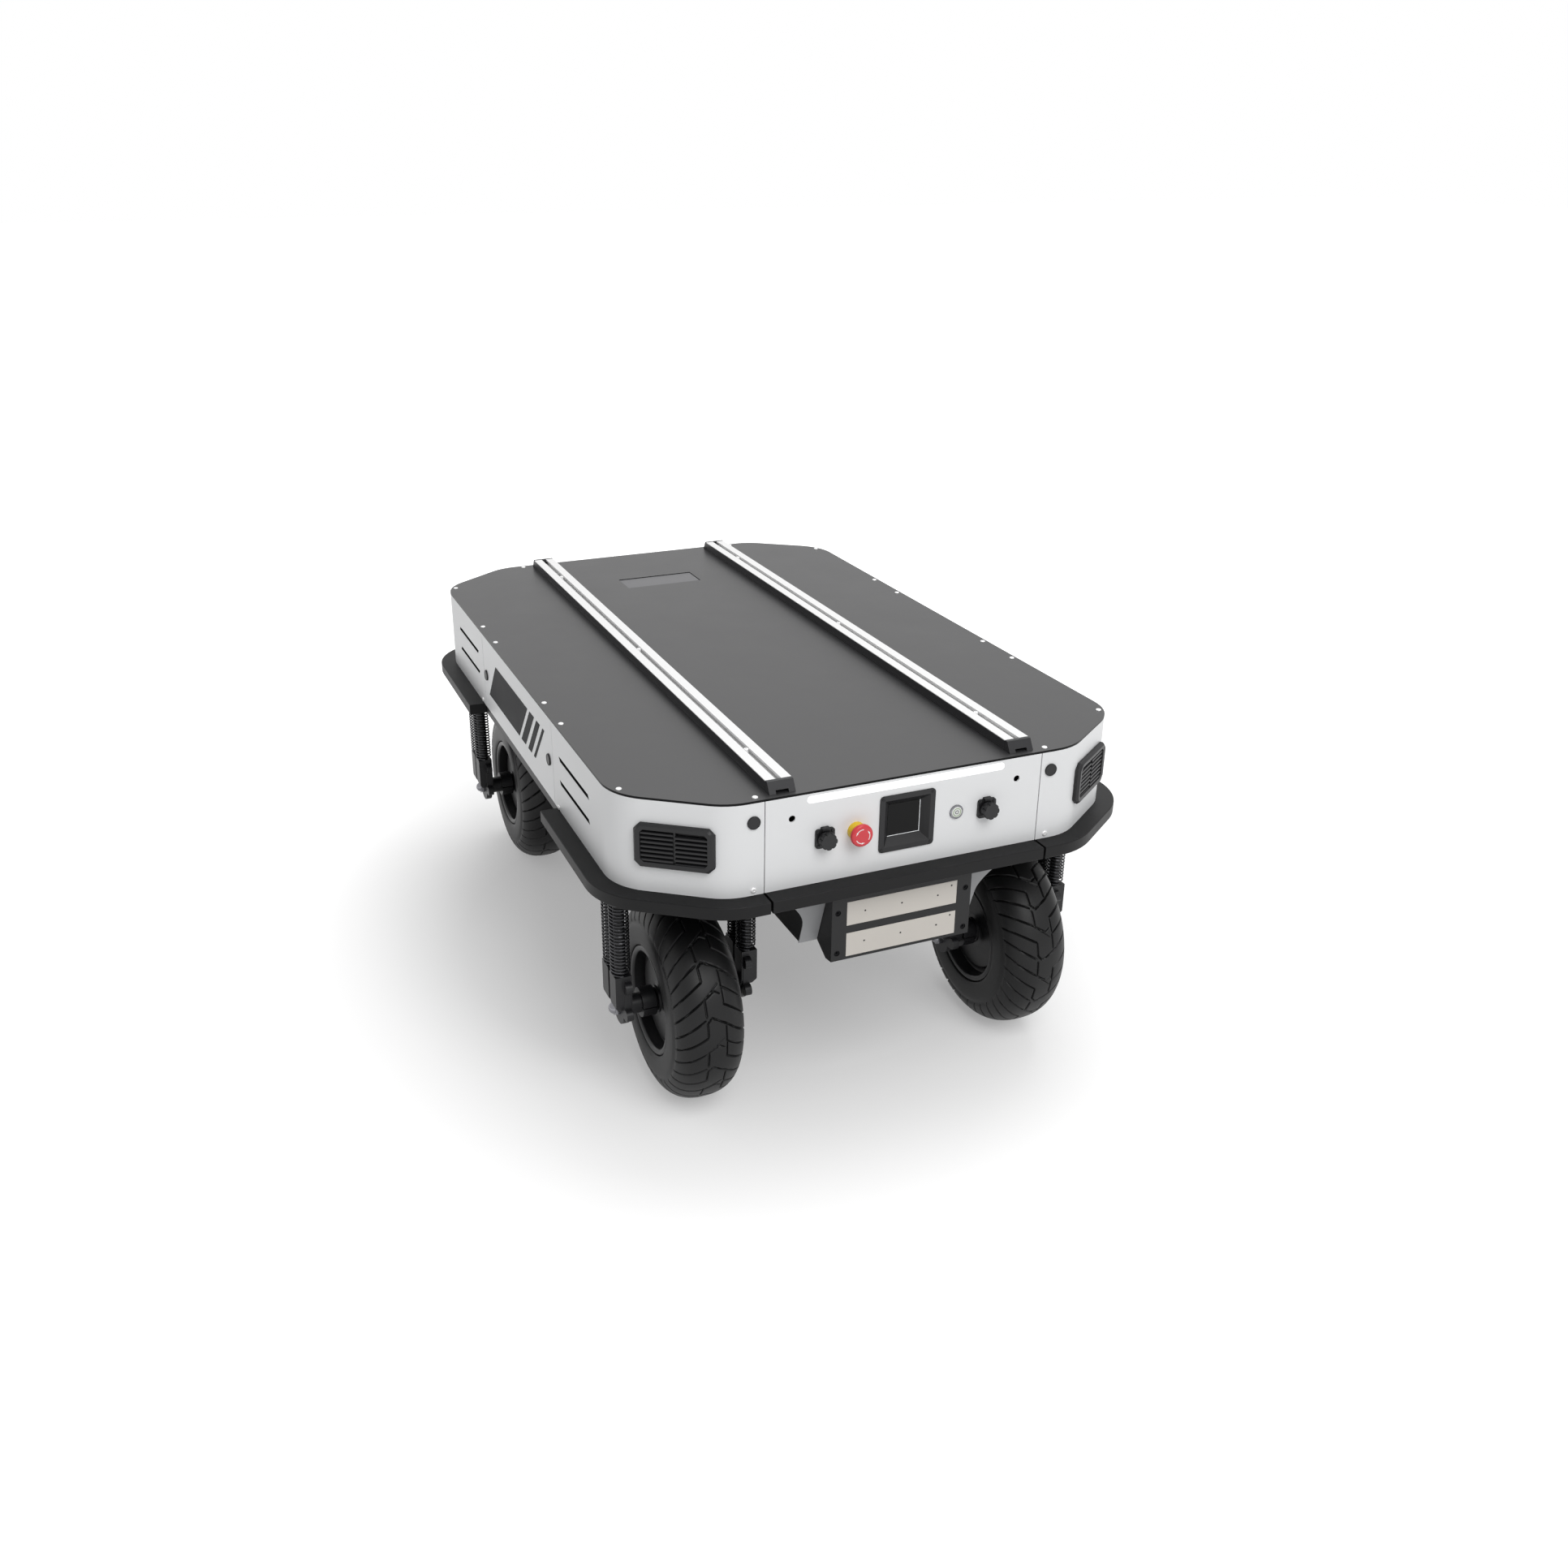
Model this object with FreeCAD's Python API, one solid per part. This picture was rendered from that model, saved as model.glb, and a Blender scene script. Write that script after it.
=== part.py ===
import FreeCAD, Part
import math
import os

# Four wheel robot chassis with four steered, sprung, hub-driven wheels, in millimetres.
# +X is forwards, +Y is left, +Z is up, and the origin is on the floor under the middle.

# --- Driving dimensions -------------------------------------------------------------------

# Body shell
BODY_HALF_LENGTH = 724.5
BODY_HALF_WIDTH = 474.0
CHAMFER_X = 112.4
CHAMFER_Y = 156.0
CORNER_RADIUS = 100.0
DECK_TOP_Z = 648.7
DECK_THICKNESS = 4.0
COVER_THICKNESS = 3.0
COVER_HEIGHT = 166.7
END_SEAM_INSET = 218.8
SIDE_SEAM_X = 267.0
SEAM_GAP = 1.5
FIT = 0.3
CUT_MARGIN = 1.0

# Bumper
BUMPER_REACH = 33.0
BUMPER_HEIGHT = 22.0
BUMPER_GAP = 4.0
BUMPER_END_X = 285.0
BUMPER_EDGE = 1.2

# Frame under the covers
FRAME_WALL = 3.0
BASE_PLATE_THICKNESS = 4.0
SKIRT_HEIGHT = 40.0
TOP_FLANGE_WIDTH = 30.0
TOP_WALL_HEIGHT = 20.0
BEAM_HEIGHT = 17.0
BEAM_WIDTH = 40.0
CROSS_BEAM_X = 330.0
CROSS_BEAM_WIDTH = 30.0
POST_SIZE = 20.0
END_POST_INSET = 34.5
END_POST_PAST_SEAM = 6.8
SIDE_POST_X = 240.0
SIDE_POST_INSET = 29.0

# Payload rails on the deck
RAIL_CENTRE_Y = 220.3
RAIL_WIDTH = 45.8
RAIL_HEIGHT = 18.6
RAIL_END_INSET = 28.9
RAIL_TOP_PLATE = 1.6
RAIL_BASE_FLOOR = 4.0
RAIL_CHANNEL_WIDTH = 30.0
RAIL_CHANNEL_FLOOR = 3.6
SLOT_NECK_WIDTH = 10.0
SLOT_CAVITY_WIDTH = 20.0
SLOT_CAVITY_HEIGHT = 7.0
RAIL_CAP_TOP_DEPTH = 7.4
RAIL_CAP_FOOT_DEPTH = 18.9
RAIL_NOTCH_WIDTH = 22.0
RAIL_NOTCH_HEIGHT = 5.5
RAIL_SCREW_MIDDLE_X = 10.0
RAIL_SCREW_PITCH = 553.0
RAIL_SCREW_HEAD_RADIUS = 4.2
RAIL_SCREW_HEAD_HEIGHT = 6.0

# Deck window
WINDOW_MIDDLE_X = -487.5
WINDOW_LENGTH = 73.0
WINDOW_WIDTH = 176.0
WINDOW_RECESS = 1.5
WINDOW_LEDGE = 6.0
WINDOW_LEDGE_THICKNESS = 2.0

# Button-head screws
SCREW_HEAD_RADIUS = 5.0
SCREW_HEAD_HEIGHT = 2.8
SCREW_HEAD_TAPER = 0.55
SCREW_SOCKET_RADIUS = 1.5
SCREW_SOCKET_FLOOR = 1.3
SCREW_RADIUS = 2.5
SCREW_CLEARANCE = 0.25
DECK_SCREW_LENGTH = 9.0
COVER_SCREW_LENGTH = 9.0
CORNER_SCREW_INSET_X = 124.5
CORNER_SCREW_INSET_Y = 18.6
SIDE_SCREWS_X = [296.8, 185.9]
SIDE_SCREW_INSET = 10.5
END_SCREW_INSET = 12.7
END_SCREW_PAST_SEAM = 11.8
END_COVER_SCREW_PAST_SEAM = 19.1
END_COVER_SCREW_RISE = 9.0
SIDE_COVER_SCREW_X = 295.0
SIDE_COVER_SCREW_RISE = 5.5

# Vent slots in the sides of the corner covers
VENT_START_X = 308.5
VENT_LENGTH = 184.0
VENT_HEIGHT = 8.0
VENT_SLANT = 7.0
VENT_ROWS_DROP = [59.2, 105.2]

# Corner grilles
GRILLE_WIDTH = 134.0
GRILLE_HEIGHT = 77.0
GRILLE_DROP = 81.2
GRILLE_STAND_OFF = 10.0
GRILLE_CORNER = 10.0
GRILLE_BEVEL = 3.5
GRILLE_BORDER = 11.0
GRILLE_BODY_DEPTH = 14.0
GRILLE_WALL = 2.0
LOUVRE_COUNT = 7
LOUVRE_THICKNESS = 3.2
LOUVRE_DEPTH = 8.0
LOUVRE_STEP = 4.0
MULLION_WIDTH = 4.0

# Ultrasonic sensors
SENSOR_RADIUS = 11.5
SENSOR_STAND_OFF = 3.5
SENSOR_BODY_RADIUS = 9.0
SENSOR_BODY_LENGTH = 14.0
END_SENSOR_PAST_SEAM = 19.3
END_SENSOR_DROP = 37.1
SIDE_SENSOR_X = 242.0
SIDE_SENSOR_DROP = 88.2

# Front and rear panels, with insets measured from the seams and drops from the deck
PANEL_HOLE_RADIUS = 5.8
PANEL_HOLE_INSET = 47.2
PANEL_HOLE_DROP = 42.7
LIGHT_END_INSET = 73.2
LIGHT_HEIGHT = 13.0
LIGHT_DROP = 14.7
LIGHT_THICKNESS = 3.2
CONTROL_ROW_DROP = 83.7

# Display
DISPLAY_SIZE = 102.5
DISPLAY_DROP = 82.9
DISPLAY_FLANGE = 2.5
DISPLAY_CORNER = 7.0
DISPLAY_BOX = 90.0
DISPLAY_MOUTH = 84.0
DISPLAY_RECESS = 13.0
DISPLAY_WALL = 3.0
SCREEN_WIDTH = 60.0
SCREEN_HEIGHT = 58.0
SCREEN_THICKNESS = 2.5

# Emergency stop
ESTOP_Y = -93.5
ESTOP_COLLAR_RADIUS = 17.5
ESTOP_COLLAR_HEIGHT = 10.0
ESTOP_COLLAR_TAPER = 0.85
ESTOP_NECK_RADIUS = 11.0
ESTOP_STEM_RADIUS = 7.0
ESTOP_HEAD_RADIUS = 19.5
ESTOP_HEAD_START = 16.5
ESTOP_HEAD_RIM = 5.0
ESTOP_HEAD_DOME = 4.0
ESTOP_HEAD_EDGE = 1.5
ESTOP_HEAD_SHOULDER_RADIUS = 16.8
ESTOP_HEAD_SHOULDER_RISE = 2.4
ESTOP_HEAD_TOP_RADIUS = 11.7
ESTOP_BORE_RADIUS = 5.0
ESTOP_TRAVEL = 4.0
ESTOP_BODY_LENGTH = 30.0
RUNNING_CLEARANCE = 0.05

# Power button
BUTTON_Y = 93.5
BUTTON_RING_RADIUS = 12.6
BUTTON_CAP_RADIUS = 9.6
BUTTON_RING_HEIGHT = 3.0
BUTTON_BODY_RADIUS = 11.0
BUTTON_BODY_LENGTH = 24.0
BUTTON_TRAVEL = 2.5

# Charge and data ports
PORT_Y = 150.6
PORT_DROP = 85.7
PORT_FLANGE = 34.0
PORT_FLANGE_THICKNESS = 5.0
PORT_FLANGE_CORNER = 5.0
PORT_LUG_WIDTH = 14.0
PORT_LUG_HEIGHT = 3.0
PORT_LUG_ROOT = 2.0
PORT_LUG_DEPTH = 9.0
PORT_BARREL_RADIUS = 12.0
PORT_BARREL_REACH = 11.0
PORT_SOCKET_RADIUS = 9.0
PORT_SOCKET_DEPTH = 24.0
PORT_BODY_RADIUS = 12.5
PORT_BODY_LENGTH = 18.0
PORT_SCREW_OFFSET = 12.6
PORT_SCREW_RADIUS = 2.9
PORT_SCREW_HEIGHT = 1.6
CAP_RADIUS = 14.6
CAP_SIDES = 8
CAP_START = 7.0
CAP_LENGTH = 14.0
CAP_SKIRT = 5.0

# Battery bay and underbody tray, with depths measured down from the base plate
TRAY_HALF_WIDTH = 165.0
TRAY_DEPTH = 120.0
TRAY_BOTTOM_INSET = 53.9
TRAY_TOP_INSET = 11.5
TRAY_WALL = 2.5
APRON_HALF_WIDTH = 167.0
APRON_FLARE = 34.0
APRON_FLARE_START_DEPTH = 80.0
APRON_FLARE_END_DEPTH = 20.0
APRON_FLARE_STEPS = 6
BAY_FRONT_REACH = 1.0
BAY_HALF_WIDTH = 132.5
BAY_DEPTH = 135.0
BAY_LIP_INSET = 19.9
BAY_LIP_DEPTH = 138.0
BAY_BACK_X = 100.0
BAY_WALL = 2.0
BAY_FLOOR_DEPTH = 117.0
BAY_ROOF_DEPTH = 3.0
BAY_FACE_THICKNESS = 25.0
FASCIA_HALF_WIDTH = 105.0
FASCIA_THICKNESS = 5.5
FASCIA_ROWS_DEPTH = [(130.0, 85.0), (71.0, 26.0)]
PACK_ROWS_DEPTH = [(114.8, 86.0), (70.0, 27.0)]
PACK_HALF_WIDTH = 103.0
PACK_BACK_X = 130.0
BOLT_Y = 121.5
BOLT_ROWS_DEPTH = [120.5, 43.7]
BOLT_HEAD_RADIUS = 5.0
BOLT_HEAD_HEIGHT = 5.0
BOLT_SINK = 2.0
BOLT_RADIUS = 3.0
BOLT_LENGTH = 14.0
BOLT_SOCKET_ACROSS_FLATS = 5.1

# Wheels and steering
WHEEL_X = 512.0
WHEEL_Y = 325.0
WHEEL_RADIUS = 185.6
TYRE_HALF_WIDTH = 65.5
TYRE_SECTION_HEIGHT = 65.0
TYRE_SECTION_POWER = 2.44
TYRE_WALL = 12.0
TYRE_BEAD_HALF_WIDTH = 44.0
TYRE_BEAD_RADIUS = 95.0
TYRE_FLANGE_WIDTH = 19.0
TYRE_LIP_GAP = 1.0
TYRE_SECTION_STEPS = 12
RIM_RADIUS = 94.7
RIM_LIP_RADIUS = 99.0
RIM_LIP_Y = 45.0
RIM_LIP_THICKNESS = 17.0
RIM_WALL = 5.0
HUB_FACE_Y = 36.0
HUB_COVER_THICKNESS = 6.0
HUB_RING_RADIUS = 76.0
HUB_RING_WIDTH = 5.0
HUB_RING_HEIGHT = 6.0
HUB_BOSS_RADIUS = 24.0
HUB_BOSS_Y = 50.0
STATOR_RADIUS = 80.0
STATOR_HALF_WIDTH = 24.0
STATOR_GAP = 2.0
AXLE_RADIUS = 8.0
AXLE_SHOULDER_RADIUS = 13.0
AXLE_SHOULDER_GAP = 0.3
AXLE_HALF_LENGTH = 128.0
NUT_ACROSS_FLATS = 26.0
NUT_HEIGHT = 9.0
NUT_DOME_RADIUS = 11.0
NUT_LENGTH = 18.0

# Fork struts
STRUT_DX = 21.0
STRUT_DY = 118.0
SPRING_RADIUS = 18.0
SPRING_WIRE = 3.4
ROD_RADIUS = 10.0
ROD_BOTTOM_Z = 235.0
CROWN_GAP = 8.0
CROWN_THICKNESS = 14.0
CROWN_HALF_LENGTH = 44.0
CROWN_HALF_WIDTH = 139.0
CROWN_CORNER = 16.0
LEG_TOP_Z = 267.5
LEG_BOTTOM_Z = 195.0
LEG_HALF_LENGTH = 17.0
LEG_HALF_WIDTH = 15.0
LEG_BORE_FLOOR = 4.0
LEG_CHAMFER_HEIGHT = 14.0
LEG_CHAMFER_WIDTH = 8.0
LEG_TAPER_HEIGHT = 10.0
LEG_TAPER_WIDTH = 6.0
BRACKET_INNER_Y = 105.5
BRACKET_THICKNESS = 12.5
BRACKET_BOSS_RADIUS = 31.0
BRACKET_WAIST_X = 39.0
LOBE_RADIUS = 11.0
LOBE_X = 41.5
LOBES_Z = [191.0, 247.0]
CLAMP_RADIUS = 27.0
CLAMP_START_Y = 53.0
CLAMP_END_Y = 79.0
CLAMP_NECK_RADIUS = 18.0
CLAMP_SLIT = 2.0

# Steering gearboxes, with heights measured up from the base plate
STEER_SHAFT_RADIUS = 20.0
STEER_SHAFT_RISE = 70.0
STEER_CLEARANCE = 0.06
BEARING_RADIUS = 30.0
BEARING_FLANGE_RADIUS = 42.0
BEARING_FLANGE_HEIGHT = 6.0
GEARBOX_RADIUS = 50.0
GEARBOX_RISE = 85.0
GEARBOX_FLANGE = 112.0
GEARBOX_FLANGE_THICKNESS = 8.0
GEAR_MOTOR_RADIUS = 40.0
GEAR_MOTOR_RISE = 162.0

# Electronics inside the body
CONTROL_LENGTH = 240.0
CONTROL_WIDTH = 180.0
CONTROL_HEIGHT = 70.0
CONTROL_X = -150.0
CONTROL_FIN_COUNT = 9
DRIVE_LENGTH = 130.0
DRIVE_WIDTH = 90.0
DRIVE_HEIGHT = 46.0
DRIVE_X = 210.0
DRIVE_Y = 300.0
FIN_HEIGHT = 12.0
FIN_THICKNESS = 3.0
DRIVE_FIN_COUNT = 6

# --- Places worked out from the driving dimensions ----------------------------------------

FACE_X = BODY_HALF_LENGTH
DECK_UNDERSIDE_Z = DECK_TOP_Z - DECK_THICKNESS
COVER_BOTTOM_Z = DECK_TOP_Z - COVER_HEIGHT
BASE_BOTTOM_Z = COVER_BOTTOM_Z - BUMPER_HEIGHT
BASE_TOP_Z = BASE_BOTTOM_Z + BASE_PLATE_THICKNESS
FRAME_INSET = COVER_THICKNESS + FIT
END_SEAM_Y = BODY_HALF_WIDTH - END_SEAM_INSET
END_POST_X = BODY_HALF_LENGTH - END_POST_INSET
END_POST_Y = END_SEAM_Y + END_POST_PAST_SEAM
SIDE_POST_Y = BODY_HALF_WIDTH - SIDE_POST_INSET

RAIL_TOP_Z = DECK_TOP_Z + RAIL_HEIGHT
RAIL_HALF_LENGTH = BODY_HALF_LENGTH - RAIL_END_INSET
RAIL_SCREWS_X = [RAIL_SCREW_MIDDLE_X + step * RAIL_SCREW_PITCH for step in (-1, 0, 1)]
SLOT_FLOOR_Z = DECK_TOP_Z + RAIL_BASE_FLOOR + RAIL_CHANNEL_FLOOR

SCREW_HOLE_RADIUS = SCREW_RADIUS + SCREW_CLEARANCE
DECK_SCREW_PLACES = [(x, BODY_HALF_WIDTH - SIDE_SCREW_INSET) for x in SIDE_SCREWS_X]
DECK_SCREW_PLACES += [
    (BODY_HALF_LENGTH - CORNER_SCREW_INSET_X, BODY_HALF_WIDTH - CORNER_SCREW_INSET_Y),
    (BODY_HALF_LENGTH - END_SCREW_INSET, END_SEAM_Y + END_SCREW_PAST_SEAM),
]
END_COVER_SCREW = (END_SEAM_Y + END_COVER_SCREW_PAST_SEAM, COVER_BOTTOM_Z + END_COVER_SCREW_RISE)
SIDE_COVER_SCREW = (SIDE_COVER_SCREW_X, COVER_BOTTOM_Z + SIDE_COVER_SCREW_RISE)

VENT_ROWS_Z = [DECK_TOP_Z - drop for drop in VENT_ROWS_DROP]
GRILLE_MIDDLE_Z = DECK_TOP_Z - GRILLE_DROP
END_SENSOR = (END_SEAM_Y + END_SENSOR_PAST_SEAM, DECK_TOP_Z - END_SENSOR_DROP)
SIDE_SENSOR = (SIDE_SENSOR_X, DECK_TOP_Z - SIDE_SENSOR_DROP)
PANEL_HOLE_Y = END_SEAM_Y - PANEL_HOLE_INSET
PANEL_HOLE_Z = DECK_TOP_Z - PANEL_HOLE_DROP
LIGHT_HALF_LENGTH = END_SEAM_Y - LIGHT_END_INSET
LIGHT_Z = DECK_TOP_Z - LIGHT_DROP
CONTROL_ROW_Z = DECK_TOP_Z - CONTROL_ROW_DROP
DISPLAY_Z = DECK_TOP_Z - DISPLAY_DROP
PORT_Z = DECK_TOP_Z - PORT_DROP

TRAY_BOTTOM_Z = BASE_BOTTOM_Z - TRAY_DEPTH
TRAY_BOTTOM_X = BODY_HALF_LENGTH - TRAY_BOTTOM_INSET
TRAY_TOP_X = BODY_HALF_LENGTH - TRAY_TOP_INSET
TRAY_SLOPE = (TRAY_TOP_X - TRAY_BOTTOM_X) / TRAY_DEPTH
APRON_FLARE_START_Z = BASE_BOTTOM_Z - APRON_FLARE_START_DEPTH
APRON_FLARE_END_Z = BASE_BOTTOM_Z - APRON_FLARE_END_DEPTH
BAY_FRONT_X = BODY_HALF_LENGTH + BAY_FRONT_REACH
BAY_BOTTOM_Z = BASE_BOTTOM_Z - BAY_DEPTH
BAY_LIP_X = BODY_HALF_LENGTH - BAY_LIP_INSET
BAY_LIP_Z = BASE_BOTTOM_Z - BAY_LIP_DEPTH
BAY_FLOOR_Z = BASE_BOTTOM_Z - BAY_FLOOR_DEPTH
BAY_ROOF_Z = BASE_BOTTOM_Z - BAY_ROOF_DEPTH
FASCIA_ROWS_Z = [(BASE_BOTTOM_Z - low, BASE_BOTTOM_Z - high) for low, high in FASCIA_ROWS_DEPTH]
PACK_ROWS_Z = [(BASE_BOTTOM_Z - low, BASE_BOTTOM_Z - high) for low, high in PACK_ROWS_DEPTH]
BOLT_ROWS_Z = [BASE_BOTTOM_Z - depth for depth in BOLT_ROWS_DEPTH]

CROWN_TOP_Z = BASE_BOTTOM_Z - CROWN_GAP
CROWN_BOTTOM_Z = CROWN_TOP_Z - CROWN_THICKNESS
BRACKET_OUTER_Y = BRACKET_INNER_Y + BRACKET_THICKNESS
STEER_SHAFT_TOP_Z = BASE_BOTTOM_Z + STEER_SHAFT_RISE
GEARBOX_TOP_Z = BASE_BOTTOM_Z + GEARBOX_RISE
GEAR_MOTOR_TOP_Z = BASE_BOTTOM_Z + GEAR_MOTOR_RISE
CORNERS = {
    "front_left": (1, 1),
    "front_right": (1, -1),
    "rear_left": (-1, 1),
    "rear_right": (-1, -1),
}

X_AXIS = FreeCAD.Vector(1, 0, 0)
Y_AXIS = FreeCAD.Vector(0, 1, 0)
Z_AXIS = FreeCAD.Vector(0, 0, 1)
ORIGIN = FreeCAD.Vector(0, 0, 0)


# --- Shape helpers ------------------------------------------------------------------------

def point(x, y, z=0.0):
    return FreeCAD.Vector(x, y, z)


def box(x_range, y_range, z_range):
    """A box between two values along each axis."""
    low = point(min(x_range), min(y_range), min(z_range))
    high = point(max(x_range), max(y_range), max(z_range))
    size = high - low
    return Part.makeBox(size.x, size.y, size.z, low)


def rod(radius, start, axis, length):
    return Part.makeCylinder(radius, length, start, axis)


def prism(points, direction):
    """A straight prism on a closed outline of points."""
    return Part.Face(Part.makePolygon(points + points[:1])).extrude(direction)


def revolved(profile, centre, axis):
    """A solid of revolution of a closed outline of points about an axis through centre."""
    return Part.Face(Part.makePolygon(profile + profile[:1])).revolve(centre, axis, 360)


def rounded_outline(corners, radius):
    """A closed wire through the corners, each one rounded by an arc of the radius."""
    edges = []
    ends = []
    for index, corner in enumerate(corners):
        before = (corners[index - 1] - corner).normalize()
        after = (corners[(index + 1) % len(corners)] - corner).normalize()
        turn = math.pi - before.getAngle(after)
        tangent = radius * math.tan(turn / 2)
        first = corner + before * tangent
        last = corner + after * tangent
        inward = (before + after).normalize()
        middle = corner + inward * radius * (1 / math.cos(turn / 2) - 1)
        edges.append(Part.Arc(first, middle, last).toShape())
        ends.append((first, last))
    lines = []
    for index, (first, last) in enumerate(ends):
        lines.append(Part.LineSegment(last, ends[(index + 1) % len(ends)][0]).toShape())
    ordered = [edge for pair in zip(edges, lines) for edge in pair]
    return Part.Wire(ordered)


def body_outline(offset, z):
    """The body's plan outline at height z, moved outwards by the offset."""
    slope = math.hypot(CHAMFER_X, CHAMFER_Y)
    half_length = BODY_HALF_LENGTH + offset
    half_width = BODY_HALF_WIDTH + offset
    reach = CHAMFER_Y * BODY_HALF_LENGTH + CHAMFER_X * (BODY_HALF_WIDTH - CHAMFER_Y) + offset * slope
    front_y = (reach - CHAMFER_Y * half_length) / CHAMFER_X
    side_x = (reach - CHAMFER_X * half_width) / CHAMFER_Y
    quarter = [(half_length, front_y), (side_x, half_width)]
    corners = [point(x, y, z) for x, y in quarter]
    corners += [point(-x, y, z) for x, y in reversed(quarter)]
    corners += [point(-x, -y, z) for x, y in quarter]
    corners += [point(x, -y, z) for x, y in reversed(quarter)]
    return rounded_outline(corners, CORNER_RADIUS + offset)


def body_slab(offset, bottom_z, top_z):
    face = Part.Face(body_outline(offset, bottom_z))
    return face.extrude(Z_AXIS * (top_z - bottom_z))


def body_ring(outer_offset, inner_offset, bottom_z, top_z):
    return body_slab(outer_offset, bottom_z, top_z).cut(body_slab(inner_offset, bottom_z, top_z))


def joined(shapes):
    """One solid made from shapes that overlap or share faces."""
    return shapes[0].fuse(shapes[1:]).removeSplitter()


def group(shapes):
    """Separate solids kept in one sub-part."""
    return Part.makeCompound(shapes)


def mirrored(shape, x_sign, y_sign):
    """The shape of the front left quarter, mirrored into another quarter."""
    result = shape.copy()
    if x_sign < 0:
        result = result.mirror(ORIGIN, X_AXIS)
    if y_sign < 0:
        result = result.mirror(ORIGIN, Y_AXIS)
    return result


def in_all_corners(shape):
    return [mirrored(shape, x_sign, y_sign) for x_sign, y_sign in CORNERS.values()]


def front_and_rear(shape):
    return [mirrored(shape, x_sign, 1) for x_sign in (1, -1)]


def left_and_right(shape):
    return [mirrored(shape, 1, y_sign) for y_sign in (1, -1)]


# --- Body shell ---------------------------------------------------------------------------

def window_opening(clearance, bottom_z, top_z):
    half_length = WINDOW_LENGTH / 2 - clearance
    half_width = WINDOW_WIDTH / 2 - clearance
    x_range = (WINDOW_MIDDLE_X - half_length, WINDOW_MIDDLE_X + half_length)
    return box(x_range, (-half_width, half_width), (bottom_z, top_z))


def deck_screw_holes(bottom_z, top_z):
    holes = []
    for x, y in DECK_SCREW_PLACES:
        hole = rod(SCREW_HOLE_RADIUS, point(x, y, bottom_z), Z_AXIS, top_z - bottom_z)
        holes += in_all_corners(hole)
    return holes


def rail_screw_holes(bottom_z, top_z):
    holes = []
    for x in RAIL_SCREWS_X:
        hole = rod(SCREW_HOLE_RADIUS, point(x, RAIL_CENTRE_Y, bottom_z), Z_AXIS, top_z - bottom_z)
        holes += left_and_right(hole)
    return holes


def deck_plate():
    plate = body_slab(0, DECK_UNDERSIDE_Z, DECK_TOP_Z)
    cuts = deck_screw_holes(DECK_UNDERSIDE_Z, DECK_TOP_Z)
    cuts += rail_screw_holes(DECK_UNDERSIDE_Z, DECK_TOP_Z)
    cuts.append(window_opening(0, DECK_UNDERSIDE_Z, DECK_TOP_Z))
    return plate.cut(cuts)


def deck_window():
    pane = window_opening(FIT, DECK_UNDERSIDE_Z, DECK_TOP_Z - WINDOW_RECESS)
    ledge_bottom = DECK_UNDERSIDE_Z - WINDOW_LEDGE_THICKNESS
    ledge = window_opening(-WINDOW_LEDGE, ledge_bottom, DECK_UNDERSIDE_Z)
    return joined([pane, ledge])


def cover_ring():
    return body_ring(0, -COVER_THICKNESS, COVER_BOTTOM_Z, DECK_UNDERSIDE_Z)


def vent_slots():
    """Two slanted slots through the side wall of the front left corner cover."""
    slots = []
    depth = COVER_THICKNESS * 2
    for z in VENT_ROWS_Z:
        low = z - VENT_HEIGHT / 2
        high = z + VENT_HEIGHT / 2
        y = BODY_HALF_WIDTH - depth
        end_x = VENT_START_X + VENT_LENGTH
        outline = [
            point(VENT_START_X, y, high),
            point(VENT_START_X + VENT_SLANT, y, low),
            point(end_x, y, low),
            point(end_x - VENT_SLANT, y, high),
        ]
        slots.append(prism(outline, Y_AXIS * depth * 2))
    return slots


def end_cover_screw_hole(depth):
    y, z = END_COVER_SCREW
    return rod(SCREW_HOLE_RADIUS, point(FACE_X - depth, y, z), X_AXIS, depth * 2)


def side_cover_screw_hole(depth):
    x, z = SIDE_COVER_SCREW
    return rod(SCREW_HOLE_RADIUS, point(x, BODY_HALF_WIDTH - depth, z), Y_AXIS, depth * 2)


def corner_cover():
    limit = BODY_HALF_LENGTH * 2
    zone = box((SIDE_SEAM_X + SEAM_GAP / 2, limit), (END_SEAM_Y + SEAM_GAP / 2, limit), (0, limit))
    cover = cover_ring().common(zone)
    opening = on_chamfer(grille_opening(GRILLE_BORDER - FIT * 2, -CORNER_RADIUS, CORNER_RADIUS))
    y, z = END_SENSOR
    sensor_hole = rod(SENSOR_BODY_RADIUS + FIT, point(FACE_X - SENSOR_BODY_LENGTH, y, z), X_AXIS,
                      SENSOR_BODY_LENGTH * 2)
    depth = COVER_THICKNESS * 3
    cuts = [opening, sensor_hole, end_cover_screw_hole(depth), side_cover_screw_hole(depth)]
    return cover.cut(cuts + vent_slots())


def side_panel():
    half = SIDE_SEAM_X - SEAM_GAP / 2
    zone = box((-half, half), (0, BODY_HALF_WIDTH * 2), (0, DECK_TOP_Z))
    panel = cover_ring().common(zone)
    x, z = SIDE_SENSOR
    hole = rod(SENSOR_BODY_RADIUS + FIT, point(x, BODY_HALF_WIDTH - SENSOR_BODY_LENGTH, z), Y_AXIS,
               SENSOR_BODY_LENGTH * 2)
    return panel.cut(front_and_rear(hole))


def light_bar(clearance, start_x, thickness):
    """A bar with rounded ends that lies along the top of the front panel."""
    radius = LIGHT_HEIGHT / 2 - clearance
    reach = LIGHT_HALF_LENGTH - LIGHT_HEIGHT / 2
    x_range = (start_x, start_x + thickness)
    middle = box(x_range, (-reach, reach), (LIGHT_Z - radius, LIGHT_Z + radius))
    ends = [rod(radius, point(start_x, y, LIGHT_Z), X_AXIS, thickness) for y in (-reach, reach)]
    return joined([middle] + ends)


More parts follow.
